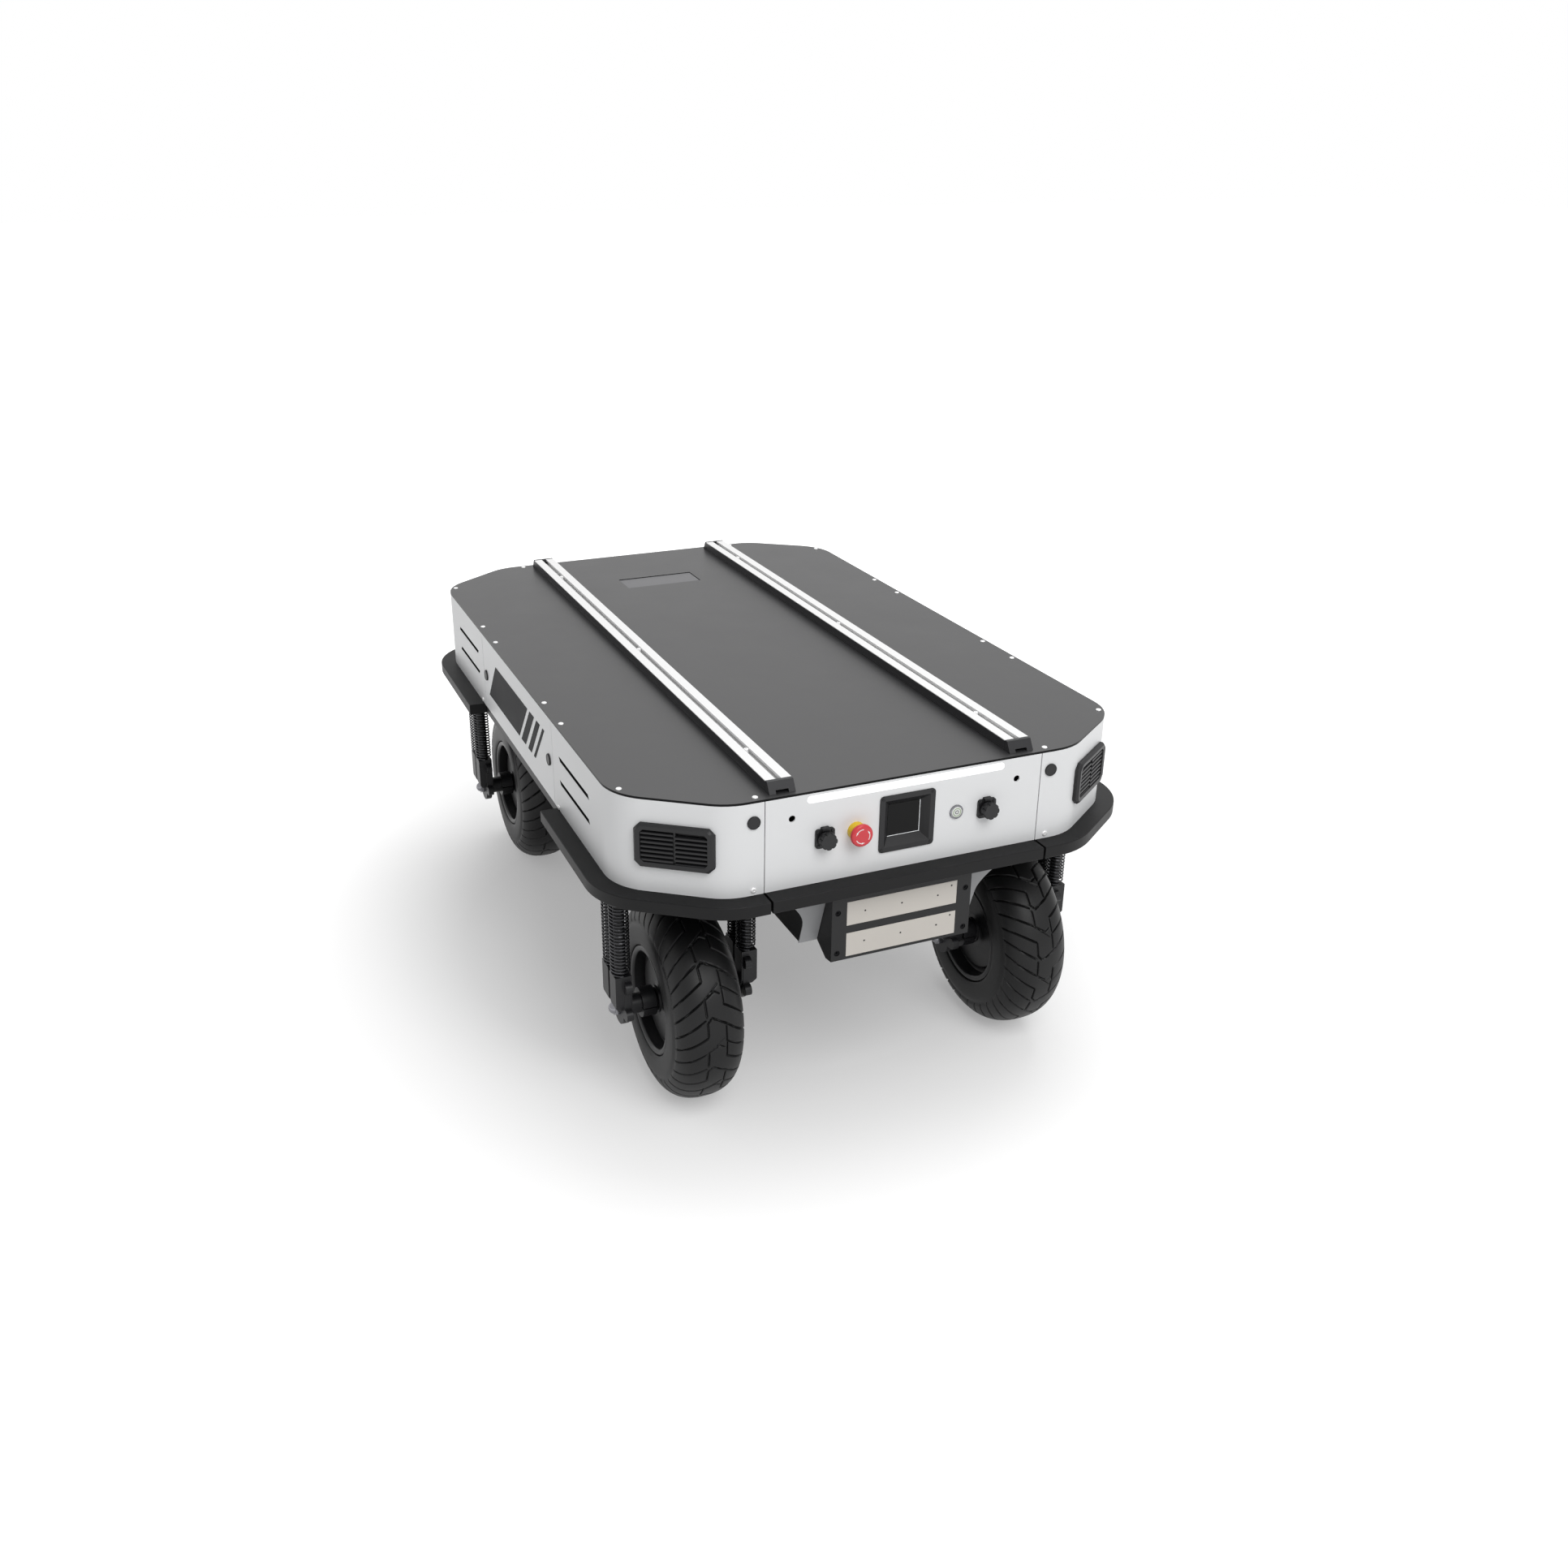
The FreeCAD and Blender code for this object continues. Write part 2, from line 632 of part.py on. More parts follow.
def plain_end_panel():
    """The end panel with the cuts that front and rear share."""
    half = END_SEAM_Y - SEAM_GAP / 2
    zone = box((0, BODY_HALF_LENGTH * 2), (-half, half), (0, DECK_TOP_Z))
    panel = cover_ring().common(zone)
    back = FACE_X - COVER_THICKNESS * 2
    depth = COVER_THICKNESS * 4
    cuts = [light_bar(0, back, depth)]
    for y in (-PANEL_HOLE_Y, PANEL_HOLE_Y):
        cuts.append(rod(PANEL_HOLE_RADIUS, point(back, y, PANEL_HOLE_Z), X_AXIS, depth))
    return panel.cut(cuts)


def front_panel():
    back = FACE_X - COVER_THICKNESS * 2
    depth = COVER_THICKNESS * 4
    half = DISPLAY_BOX / 2 + FIT
    display_hole = box((back, back + depth), (-half, half), (DISPLAY_Z - half, DISPLAY_Z + half))
    cuts = [display_hole]
    rounds = [
        (ESTOP_Y, CONTROL_ROW_Z, ESTOP_NECK_RADIUS + FIT),
        (BUTTON_Y, CONTROL_ROW_Z, BUTTON_BODY_RADIUS + FIT),
        (PORT_Y, PORT_Z, PORT_BODY_RADIUS + FIT),
        (-PORT_Y, PORT_Z, PORT_BODY_RADIUS + FIT),
    ]
    for y, z, radius in rounds:
        cuts.append(rod(radius, point(back, y, z), X_AXIS, depth))
    return plain_end_panel().cut(cuts)


def end_panels():
    """The front panel with its controls, and the plainer rear one."""
    return group([front_panel(), mirrored(plain_end_panel(), -1, 1)])


def light_strips():
    start = FACE_X + FIT - LIGHT_THICKNESS
    return group(front_and_rear(light_bar(FIT, start, LIGHT_THICKNESS)))


def button_head_screw(place, axis, length):
    """A button-head screw whose head sits at the place and whose shank runs back along the axis."""
    top_radius = SCREW_HEAD_RADIUS * SCREW_HEAD_TAPER
    head = Part.makeCone(SCREW_HEAD_RADIUS, top_radius, SCREW_HEAD_HEIGHT, place, axis)
    shank = rod(SCREW_RADIUS, place - axis * length, axis, length)
    socket = rod(SCREW_SOCKET_RADIUS, place + axis * SCREW_SOCKET_FLOOR, axis, SCREW_HEAD_HEIGHT)
    return joined([head, shank]).cut(socket)


def rail_screw(x):
    head = rod(RAIL_SCREW_HEAD_RADIUS, point(x, RAIL_CENTRE_Y, SLOT_FLOOR_Z), Z_AXIS,
               RAIL_SCREW_HEAD_HEIGHT)
    bottom = DECK_UNDERSIDE_Z - BEAM_HEIGHT
    shank = rod(SCREW_RADIUS, point(x, RAIL_CENTRE_Y, bottom), Z_AXIS, SLOT_FLOOR_Z - bottom)
    return joined([head, shank])


def screws():
    """The button-head screws of the shell, the rails' screws and the battery box's bolts."""
    pieces = []
    for x, y in DECK_SCREW_PLACES:
        place = point(x, y, DECK_TOP_Z)
        pieces += in_all_corners(button_head_screw(place, Z_AXIS, DECK_SCREW_LENGTH))
    y, z = END_COVER_SCREW
    pieces += in_all_corners(button_head_screw(point(FACE_X, y, z), X_AXIS, COVER_SCREW_LENGTH))
    x, z = SIDE_COVER_SCREW
    side_place = point(x, BODY_HALF_WIDTH, z)
    pieces += in_all_corners(button_head_screw(side_place, Y_AXIS, COVER_SCREW_LENGTH))
    for x in RAIL_SCREWS_X:
        pieces += left_and_right(rail_screw(x))
    pieces += [battery_bolt(start) for start in bolt_places()]
    return group(pieces)


# --- Payload rails ------------------------------------------------------------------------

def rail_bar(width, bottom_z, top_z, half_length=RAIL_HALF_LENGTH):
    y_range = (RAIL_CENTRE_Y - width / 2, RAIL_CENTRE_Y + width / 2)
    return box((-half_length, half_length), y_range, (bottom_z, top_z))


def payload_rail():
    """The aluminium T-slot rail as five strips that meet face to face: floor, walls and lips."""
    plate_z = RAIL_TOP_Z - RAIL_TOP_PLATE
    channel_z = DECK_TOP_Z + RAIL_BASE_FLOOR
    cavity_top = SLOT_FLOOR_Z + SLOT_CAVITY_HEIGHT
    floor = rail_bar(RAIL_CHANNEL_WIDTH, channel_z, SLOT_FLOOR_Z)
    strips = [floor.cut(rail_screw_holes(channel_z, SLOT_FLOOR_Z))]
    for side in (1, -1):
        strips.append(rail_strip(side, SLOT_CAVITY_WIDTH, RAIL_CHANNEL_WIDTH, SLOT_FLOOR_Z, cavity_top))
        lip = rail_strip(side, SLOT_NECK_WIDTH, RAIL_CHANNEL_WIDTH, cavity_top, plate_z)
        plate = rail_strip(side, SLOT_NECK_WIDTH, RAIL_WIDTH, plate_z, RAIL_TOP_Z)
        strips.append(joined([lip, plate]))
    return group(strips)


def rail_strip(side, inner_width, outer_width, bottom_z, top_z):
    """One half of a rail's section between two widths."""
    ends = sorted((RAIL_CENTRE_Y + side * inner_width / 2, RAIL_CENTRE_Y + side * outer_width / 2))
    return box((-RAIL_HALF_LENGTH, RAIL_HALF_LENGTH), ends, (bottom_z, top_z))


def rail_base():
    """The black carrier between the deck and the rail: a floor strip and a side strip along each edge."""
    plate_z = RAIL_TOP_Z - RAIL_TOP_PLATE
    floor_z = DECK_TOP_Z + RAIL_BASE_FLOOR
    floor = rail_bar(RAIL_WIDTH, DECK_TOP_Z, floor_z)
    strips = [floor.cut(rail_screw_holes(DECK_TOP_Z, floor_z))]
    for side in (1, -1):
        strips.append(rail_strip(side, RAIL_CHANNEL_WIDTH + FIT * 2, RAIL_WIDTH, floor_z, plate_z))
    return group(strips)


def rail_end_cap():
    """The sloped cap that closes one end of a rail."""
    y = RAIL_CENTRE_Y - RAIL_WIDTH / 2
    start_x = RAIL_HALF_LENGTH
    outline = [
        point(start_x, y, DECK_TOP_Z),
        point(start_x + RAIL_CAP_FOOT_DEPTH, y, DECK_TOP_Z),
        point(start_x + RAIL_CAP_TOP_DEPTH, y, RAIL_TOP_Z),
        point(start_x, y, RAIL_TOP_Z),
    ]
    cap = prism(outline, Y_AXIS * RAIL_WIDTH)
    notch_half = RAIL_NOTCH_WIDTH / 2
    notch_top = DECK_TOP_Z + RAIL_NOTCH_HEIGHT
    notch_start = start_x + RAIL_CAP_TOP_DEPTH
    notch = box((notch_start, start_x + RAIL_CAP_FOOT_DEPTH * 2),
                (RAIL_CENTRE_Y - notch_half, RAIL_CENTRE_Y + notch_half), (DECK_TOP_Z, notch_top))
    return cap.cut(notch)


# --- Bumper -------------------------------------------------------------------------------

def bumper_ring():
    ring = body_ring(BUMPER_REACH, -COVER_THICKNESS, BASE_BOTTOM_Z, COVER_BOTTOM_Z)
    outer = [edge for edge in ring.Edges if is_outer_bumper_edge(edge)]
    return ring.makeChamfer(BUMPER_EDGE, outer)


def is_outer_bumper_edge(edge):
    """True for the top and bottom edges of the bumper's outer wall."""
    box_of_edge = edge.BoundBox
    level = box_of_edge.ZLength < FIT
    outline = body_outline(BUMPER_REACH, box_of_edge.ZMin)
    middle = edge.valueAt((edge.FirstParameter + edge.LastParameter) / 2)
    return level and outline.distToShape(Part.Vertex(middle))[0] < FIT


def end_bumper(ring):
    half = END_SEAM_Y - BUMPER_GAP / 2
    return ring.common(box((0, FACE_X * 2), (-half, half), (0, DECK_TOP_Z)))


def corner_bumper(ring):
    start_y = END_SEAM_Y + BUMPER_GAP / 2
    return ring.common(box((BUMPER_END_X, FACE_X * 2), (start_y, FACE_X * 2), (0, DECK_TOP_Z)))


# --- Corner grilles -----------------------------------------------------------------------

def on_chamfer(shape):
    """Moves a shape drawn on the YZ plane, outwards along +X, onto the front left chamfer."""
    middle_x = BODY_HALF_LENGTH - CHAMFER_X / 2
    middle_y = BODY_HALF_WIDTH - CHAMFER_Y / 2
    flat_shift = CORNER_RADIUS * (side_turn_tangent() - front_turn_tangent()) / 2
    slope = math.hypot(CHAMFER_X, CHAMFER_Y)
    x = middle_x + flat_shift * CHAMFER_X / slope
    y = middle_y - flat_shift * CHAMFER_Y / slope
    placed = shape.copy()
    placed.rotate(ORIGIN, Z_AXIS, math.degrees(math.atan2(CHAMFER_X, CHAMFER_Y)))
    placed.translate(point(x, y, GRILLE_MIDDLE_Z))
    return placed


def front_turn_tangent():
    """Tangent length per unit of corner radius where the front face turns into the chamfer."""
    return math.tan(math.atan2(CHAMFER_X, CHAMFER_Y) / 2)


def side_turn_tangent():
    """The same where the chamfer turns into the side."""
    return math.tan(math.atan2(CHAMFER_Y, CHAMFER_X) / 2)


def grille_opening(border, start_x, end_x):
    half_width = GRILLE_WIDTH / 2 - border
    half_height = GRILLE_HEIGHT / 2 - border
    return box((start_x, end_x), (-half_width, half_width), (-half_height, half_height))


def grille_outline(inset, x):
    """The grille's outline with its cut corners, smaller all round by the inset."""
    half_width = GRILLE_WIDTH / 2 - inset
    half_height = GRILLE_HEIGHT / 2 - inset
    cut = GRILLE_CORNER - inset * (2 - math.sqrt(2))
    quarter = [(half_width, half_height - cut), (half_width - cut, half_height)]
    outline = [point(x, y, z) for y, z in quarter]
    outline += [point(x, -y, z) for y, z in reversed(quarter)]
    outline += [point(x, -y, -z) for y, z in quarter]
    outline += [point(x, y, -z) for y, z in reversed(quarter)]
    return outline


def grille_louvre(z):
    """One louvre, with its step down at the middle of the grille."""
    reach = GRILLE_WIDTH / 2 - GRILLE_BORDER + FIT
    half_step = LOUVRE_STEP / 2
    half_mullion = MULLION_WIDTH / 2
    top = [
        (-reach, half_step),
        (-half_mullion, half_step),
        (half_mullion, -half_step),
        (reach, -half_step),
    ]
    back_x = GRILLE_STAND_OFF - GRILLE_BEVEL - LOUVRE_DEPTH
    outline = [point(back_x, -y, z + rise) for y, rise in top]
    outline += [point(back_x, -y, z + rise - LOUVRE_THICKNESS) for y, rise in reversed(top)]
    return prism(outline, X_AXIS * LOUVRE_DEPTH)


def corner_grille():
    """The moulded grille: a bevelled frame round louvres that step down at a central bar."""
    front_x = GRILLE_STAND_OFF - GRILLE_BEVEL
    lower = prism(grille_outline(0, FIT), X_AXIS * (front_x - FIT))
    outlines = [grille_outline(0, front_x), grille_outline(GRILLE_BEVEL, GRILLE_STAND_OFF)]
    wires = [Part.makePolygon(outline + outline[:1]) for outline in outlines]
    upper = Part.makeLoft(wires, True, True)
    tail = grille_opening(GRILLE_BORDER - FIT, FIT - GRILLE_BODY_DEPTH, FIT)
    inner_border = GRILLE_BORDER + GRILLE_WALL
    opening = grille_opening(inner_border, -GRILLE_BODY_DEPTH * 2, GRILLE_STAND_OFF * 2)
    frame = joined([lower, upper, tail]).cut(opening)
    inner_height = GRILLE_HEIGHT - 2 * inner_border
    pitch = inner_height / LOUVRE_COUNT
    top_z = inner_height / 2 - pitch / 2 + LOUVRE_THICKNESS / 2
    louvres = [grille_louvre(top_z - index * pitch) for index in range(LOUVRE_COUNT)]
    half_mullion = MULLION_WIDTH / 2
    mullion = box((front_x - LOUVRE_DEPTH, front_x - LOUVRE_DEPTH / 2),
                  (-half_mullion, half_mullion), (-inner_height / 2, inner_height / 2))
    return on_chamfer(joined([frame, mullion] + louvres))


# --- Sensors ------------------------------------------------------------------------------

def sensor(place, axis):
    flange = rod(SENSOR_RADIUS, place, axis, SENSOR_STAND_OFF)
    body = rod(SENSOR_BODY_RADIUS, place - axis * SENSOR_BODY_LENGTH, axis, SENSOR_BODY_LENGTH)
    return joined([flange, body])


def ultrasonic_sensors():
    y, z = END_SENSOR
    pieces = in_all_corners(sensor(point(FACE_X, y, z), X_AXIS))
    x, z = SIDE_SENSOR
    pieces += in_all_corners(sensor(point(x, BODY_HALF_WIDTH, z), Y_AXIS))
    return group(pieces)


# --- Frame --------------------------------------------------------------------------------

def base_plate():
    """The floor of the body, pierced for the four steering bearings."""
    plate = body_slab(-FRAME_INSET, BASE_BOTTOM_Z, BASE_TOP_Z)
    steer_hole = rod(BEARING_RADIUS + FIT, point(WHEEL_X, WHEEL_Y, BASE_BOTTOM_Z), Z_AXIS,
                     BASE_PLATE_THICKNESS)
    return plate.cut(in_all_corners(steer_hole))


def frame_skirt():
    """The wall round the base plate that the covers are screwed to."""
    skirt = body_ring(-FRAME_INSET, -FRAME_INSET - FRAME_WALL, BASE_TOP_Z, BASE_BOTTOM_Z + SKIRT_HEIGHT)
    depth = COVER_THICKNESS * 4
    holes = in_all_corners(end_cover_screw_hole(depth))
    holes += in_all_corners(side_cover_screw_hole(depth))
    return skirt.cut(holes)


def top_frame():
    """The folded ring under the deck's edge that the deck is screwed to."""
    wall_bottom = DECK_UNDERSIDE_Z - TOP_WALL_HEIGHT
    wall = body_ring(-FRAME_INSET, -FRAME_INSET - FRAME_WALL, wall_bottom, DECK_UNDERSIDE_Z)
    flange = body_ring(-FRAME_INSET, -FRAME_INSET - TOP_FLANGE_WIDTH,
                       DECK_UNDERSIDE_Z - FRAME_WALL, DECK_UNDERSIDE_Z)
    return joined([wall, flange]).cut(deck_screw_holes(wall_bottom, DECK_UNDERSIDE_Z))


def deck_beams():
    """The grid of beams that carries the payload rails, fitted inside the top frame."""
    bottom_z = DECK_UNDERSIDE_Z - BEAM_HEIGHT
    z_range = (bottom_z, DECK_UNDERSIDE_Z)
    wall_inset = FRAME_INSET + FRAME_WALL
    reach_x = BODY_HALF_LENGTH - wall_inset
    reach_y = BODY_HALF_WIDTH - wall_inset
    beam_y = (RAIL_CENTRE_Y - BEAM_WIDTH / 2, RAIL_CENTRE_Y + BEAM_WIDTH / 2)
    cross_x = (CROSS_BEAM_X - CROSS_BEAM_WIDTH / 2, CROSS_BEAM_X + CROSS_BEAM_WIDTH / 2)
    beam = box((-reach_x, reach_x), beam_y, z_range)
    cross = box(cross_x, (-reach_y, reach_y), z_range)
    grid = joined(left_and_right(beam) + front_and_rear(cross))
    return grid.cut([top_frame()] + rail_screw_holes(bottom_z, DECK_UNDERSIDE_Z))


def frame_post(x, y):
    half = POST_SIZE / 2
    z_range = (BASE_TOP_Z, DECK_UNDERSIDE_Z - FRAME_WALL)
    return box((x - half, x + half), (y - half, y + half), z_range)


def frame_posts():
    """The bars that stand on the base plate and hold up the top frame."""
    end_posts = in_all_corners(frame_post(END_POST_X, END_POST_Y))
    side_posts = in_all_corners(frame_post(SIDE_POST_X, SIDE_POST_Y))
    return group(end_posts + side_posts)


# --- Controls on the front panel ----------------------------------------------------------

def rounded_plate(half_y, half_z, middle, radius, thickness):
    """A plate on the front face, centred on the middle, with rounded corners."""
    corners = [
        middle + point(0, half_y, half_z),
        middle + point(0, -half_y, half_z),
        middle + point(0, -half_y, -half_z),
        middle + point(0, half_y, -half_z),
    ]
    return Part.Face(rounded_outline(corners, radius)).extrude(X_AXIS * thickness)


def rectangle(x, half_y, half_z):
    corners = [(half_y, half_z), (-half_y, half_z), (-half_y, -half_z), (half_y, -half_z)]
    points = [point(x, y, DISPLAY_Z + z) for y, z in corners]
    return Part.makePolygon(points + points[:1])


def display_bezel():
    half = DISPLAY_SIZE / 2
    flange = rounded_plate(half, half, point(FACE_X, 0, DISPLAY_Z), DISPLAY_CORNER, DISPLAY_FLANGE)
    back_x = FACE_X + DISPLAY_FLANGE - DISPLAY_RECESS - SCREEN_THICKNESS - DISPLAY_WALL
    half_box = DISPLAY_BOX / 2
    body = box((back_x, FACE_X), (-half_box, half_box), (DISPLAY_Z - half_box, DISPLAY_Z + half_box))
    mouth = rectangle(FACE_X + DISPLAY_FLANGE, DISPLAY_MOUTH / 2, DISPLAY_MOUTH / 2)
    floor_x = FACE_X + DISPLAY_FLANGE - DISPLAY_RECESS
    floor = rectangle(floor_x, SCREEN_WIDTH / 2 + FIT, SCREEN_HEIGHT / 2 + FIT)
    recess = Part.makeLoft([floor, mouth], True, True)
    pocket = screen_block(FIT)
    return joined([flange, body]).cut([recess, pocket])


def screen_block(clearance):
    front_x = FACE_X + DISPLAY_FLANGE - DISPLAY_RECESS
    half_y = SCREEN_WIDTH / 2 + clearance
    half_z = SCREEN_HEIGHT / 2 + clearance
    z_range = (DISPLAY_Z - half_z, DISPLAY_Z + half_z)
    return box((front_x - SCREEN_THICKNESS, front_x), (-half_y, half_y), z_range)


def estop_collar():
    """The yellow collar and the contact body behind the panel, bored for the stem."""
    start = point(FACE_X, ESTOP_Y, CONTROL_ROW_Z)
    top_radius = ESTOP_COLLAR_RADIUS * ESTOP_COLLAR_TAPER
    collar = Part.makeCone(ESTOP_COLLAR_RADIUS, top_radius, ESTOP_COLLAR_HEIGHT, start, X_AXIS)
    body = rod(ESTOP_NECK_RADIUS, start - X_AXIS * ESTOP_BODY_LENGTH, X_AXIS, ESTOP_BODY_LENGTH)
    bore_start = start - X_AXIS * (ESTOP_BODY_LENGTH - FRAME_WALL)
    bore = rod(ESTOP_STEM_RADIUS + RUNNING_CLEARANCE, bore_start, X_AXIS, ESTOP_BODY_LENGTH * 2)
    return joined([collar, body]).cut(bore)


def estop_stem():
    """The sliding stem, with the thinner spigot that the head turns on."""
    start_x = FACE_X - ESTOP_BODY_LENGTH + FRAME_WALL + ESTOP_TRAVEL + FIT * 2
    start = point(start_x, ESTOP_Y, CONTROL_ROW_Z)
    shoulder_x = FACE_X + ESTOP_HEAD_START
    stem = rod(ESTOP_STEM_RADIUS, start, X_AXIS, shoulder_x - start_x)
    spigot_start = point(shoulder_x, ESTOP_Y, CONTROL_ROW_Z)
    spigot = rod(ESTOP_BORE_RADIUS - RUNNING_CLEARANCE, spigot_start, X_AXIS, ESTOP_HEAD_RIM)
    return joined([stem, spigot])


def estop_head():
    """The mushroom head, with a blind bore that turns on the stem's spigot."""
    start_x = FACE_X + ESTOP_HEAD_START + FIT
    rim_x = start_x + ESTOP_HEAD_RIM
    top_x = rim_x + ESTOP_HEAD_DOME
    profile = [
        (start_x, ESTOP_BORE_RADIUS),
        (start_x, ESTOP_HEAD_RADIUS - ESTOP_HEAD_EDGE),
        (start_x + ESTOP_HEAD_EDGE, ESTOP_HEAD_RADIUS),
        (rim_x, ESTOP_HEAD_RADIUS),
        (rim_x + ESTOP_HEAD_SHOULDER_RISE, ESTOP_HEAD_SHOULDER_RADIUS),
        (top_x, ESTOP_HEAD_TOP_RADIUS),
        (top_x, 0),
        (rim_x, 0),
        (rim_x, ESTOP_BORE_RADIUS),
    ]
    points = [point(x, ESTOP_Y, CONTROL_ROW_Z + radius) for x, radius in profile]
    return revolved(points, point(0, ESTOP_Y, CONTROL_ROW_Z), X_AXIS)


def power_button_bezel():
    start = point(FACE_X, BUTTON_Y, CONTROL_ROW_Z)
    ring = rod(BUTTON_RING_RADIUS, start, X_AXIS, BUTTON_RING_HEIGHT)
    body = rod(BUTTON_BODY_RADIUS, start - X_AXIS * BUTTON_BODY_LENGTH, X_AXIS, BUTTON_BODY_LENGTH)
    bore_start = start - X_AXIS * (BUTTON_BODY_LENGTH - FRAME_WALL)
    bore = rod(BUTTON_CAP_RADIUS + RUNNING_CLEARANCE, bore_start, X_AXIS, BUTTON_BODY_LENGTH * 2)
    return joined([ring, body]).cut(bore)


def power_button_cap():
    start_x = FACE_X - BUTTON_BODY_LENGTH + FRAME_WALL + BUTTON_TRAVEL + FIT * 2
    end_x = FACE_X + BUTTON_RING_HEIGHT + FIT
    return rod(BUTTON_CAP_RADIUS, point(start_x, BUTTON_Y, CONTROL_ROW_Z), X_AXIS, end_x - start_x)


def charge_port(y):
    """A square-flanged socket with its four screws and the lug on top."""
    middle = point(FACE_X, y, PORT_Z)
    half = PORT_FLANGE / 2
    flange = rounded_plate(half, half, middle, PORT_FLANGE_CORNER, PORT_FLANGE_THICKNESS)
    lug_half = PORT_LUG_WIDTH / 2
    lug_z = PORT_Z + half
    lug = box((FACE_X, FACE_X + PORT_LUG_DEPTH), (y - lug_half, y + lug_half),
              (lug_z - PORT_LUG_ROOT, lug_z + PORT_LUG_HEIGHT))
    barrel = rod(PORT_BARREL_RADIUS, middle, X_AXIS, PORT_BARREL_REACH)
    body = rod(PORT_BODY_RADIUS, middle - X_AXIS * PORT_BODY_LENGTH, X_AXIS, PORT_BODY_LENGTH)
    heads = []
    for dy in (-PORT_SCREW_OFFSET, PORT_SCREW_OFFSET):
        for dz in (-PORT_SCREW_OFFSET, PORT_SCREW_OFFSET):
            start = middle + point(PORT_FLANGE_THICKNESS, dy, dz)
            heads.append(rod(PORT_SCREW_RADIUS, start, X_AXIS, PORT_SCREW_HEIGHT))
    socket_start = middle + X_AXIS * (PORT_BARREL_REACH - PORT_SOCKET_DEPTH)
    socket = rod(PORT_SOCKET_RADIUS, socket_start, X_AXIS, PORT_SOCKET_DEPTH * 2)
    return joined([flange, lug, barrel, body] + heads).cut(socket)


def port_cap(y):
    """The octagonal dust cap that closes over the socket's barrel."""
    start_x = FACE_X + CAP_START
    outline = []
    for index in range(CAP_SIDES):
        angle = 2 * math.pi * (index + 0.5) / CAP_SIDES
        outline.append(point(start_x + CAP_SKIRT, y + CAP_RADIUS * math.cos(angle),
                             PORT_Z + CAP_RADIUS * math.sin(angle)))
    grip = prism(outline, X_AXIS * (CAP_LENGTH - CAP_SKIRT))
    start = point(start_x, y, PORT_Z)
    skirt = rod(CAP_RADIUS, start, X_AXIS, CAP_SKIRT)
    depth = PORT_BARREL_REACH - CAP_START + FIT
    bore = rod(PORT_BARREL_RADIUS + RUNNING_CLEARANCE, start, X_AXIS, depth)
    return joined([skirt, grip]).cut(bore)


# --- Battery bay and tray -----------------------------------------------------------------

def battery_box():
    """The slide-in battery housing, with the thick front face and its two windows."""
    side = [
        (BAY_FRONT_X, BASE_BOTTOM_Z - FIT),
        (BAY_FRONT_X, BAY_BOTTOM_Z),
        (BAY_LIP_X, BAY_LIP_Z),
        (TRAY_BOTTOM_X + FIT, TRAY_BOTTOM_Z),
        (TRAY_BOTTOM_X + FIT, BASE_BOTTOM_Z - FIT),
    ]
    outline = [point(x, -BAY_HALF_WIDTH, z) for x, z in side]
    face = prism(outline, Y_AXIS * BAY_HALF_WIDTH * 2)
    inner = BAY_HALF_WIDTH - FRAME_WALL - FIT
    tunnel = box((BAY_BACK_X, TRAY_BOTTOM_X + CUT_MARGIN), (-inner, inner), (BAY_FLOOR_Z, BAY_ROOF_Z))
    cavity_half = inner - BAY_WALL
    cavity_z = (BAY_FLOOR_Z + BAY_WALL, BAY_ROOF_Z - BAY_WALL)
    cavity_x = (BAY_BACK_X + BAY_WALL, BAY_FRONT_X - BAY_FACE_THICKNESS)
    cuts = [box(cavity_x, (-cavity_half, cavity_half), cavity_z)]
    window_y = (-FASCIA_HALF_WIDTH, FASCIA_HALF_WIDTH)
    for low, high in FASCIA_ROWS_Z:
        through_x = (BAY_FRONT_X - BAY_FACE_THICKNESS * 2, BAY_FRONT_X + CUT_MARGIN)
        cuts.append(box(through_x, window_y, (max(low, cavity_z[0]), high)))
        recess_x = (BAY_FRONT_X - FASCIA_THICKNESS, BAY_FRONT_X + CUT_MARGIN)
        cuts.append(box(recess_x, window_y, (low, high)))
    for start in bolt_places():
        hole_start = start - X_AXIS * BOLT_LENGTH
        cuts.append(rod(BOLT_RADIUS + SCREW_CLEARANCE, hole_start, X_AXIS, BOLT_LENGTH * 2))
        cuts.append(rod(BOLT_HEAD_RADIUS + FIT, start, X_AXIS, BOLT_LENGTH))
    return joined([face, tunnel]).cut(cuts)


def bolt_places():
    """Where each bolt head's underside sits."""
    x = BAY_FRONT_X - BOLT_HEAD_HEIGHT - BOLT_SINK
    return [point(x, y, z) for y in (-BOLT_Y, BOLT_Y) for z in BOLT_ROWS_Z]


def battery_bolt(start):
    head = rod(BOLT_HEAD_RADIUS, start, X_AXIS, BOLT_HEAD_HEIGHT)
    shank = rod(BOLT_RADIUS, start - X_AXIS * BOLT_LENGTH, X_AXIS, BOLT_LENGTH)
    socket_start = start + X_AXIS * BOLT_HEAD_HEIGHT / 2
    socket = hexagon(socket_start, X_AXIS, BOLT_SOCKET_ACROSS_FLATS, BOLT_HEAD_HEIGHT)
    return joined([head, shank]).cut(socket)


def hexagon(start, axis, across_flats, length):
    """A hexagonal prism along a level axis, with one of its edges at the top."""
    radius = across_flats / math.sqrt(3)
    sideways = axis.cross(Z_AXIS) * radius
    upwards = Z_AXIS * radius
    outline = []
    for index in range(6):
        angle = math.pi * index / 3
        outline.append(start + upwards * math.cos(angle) + sideways * math.sin(angle))
    return prism(outline, axis * length)


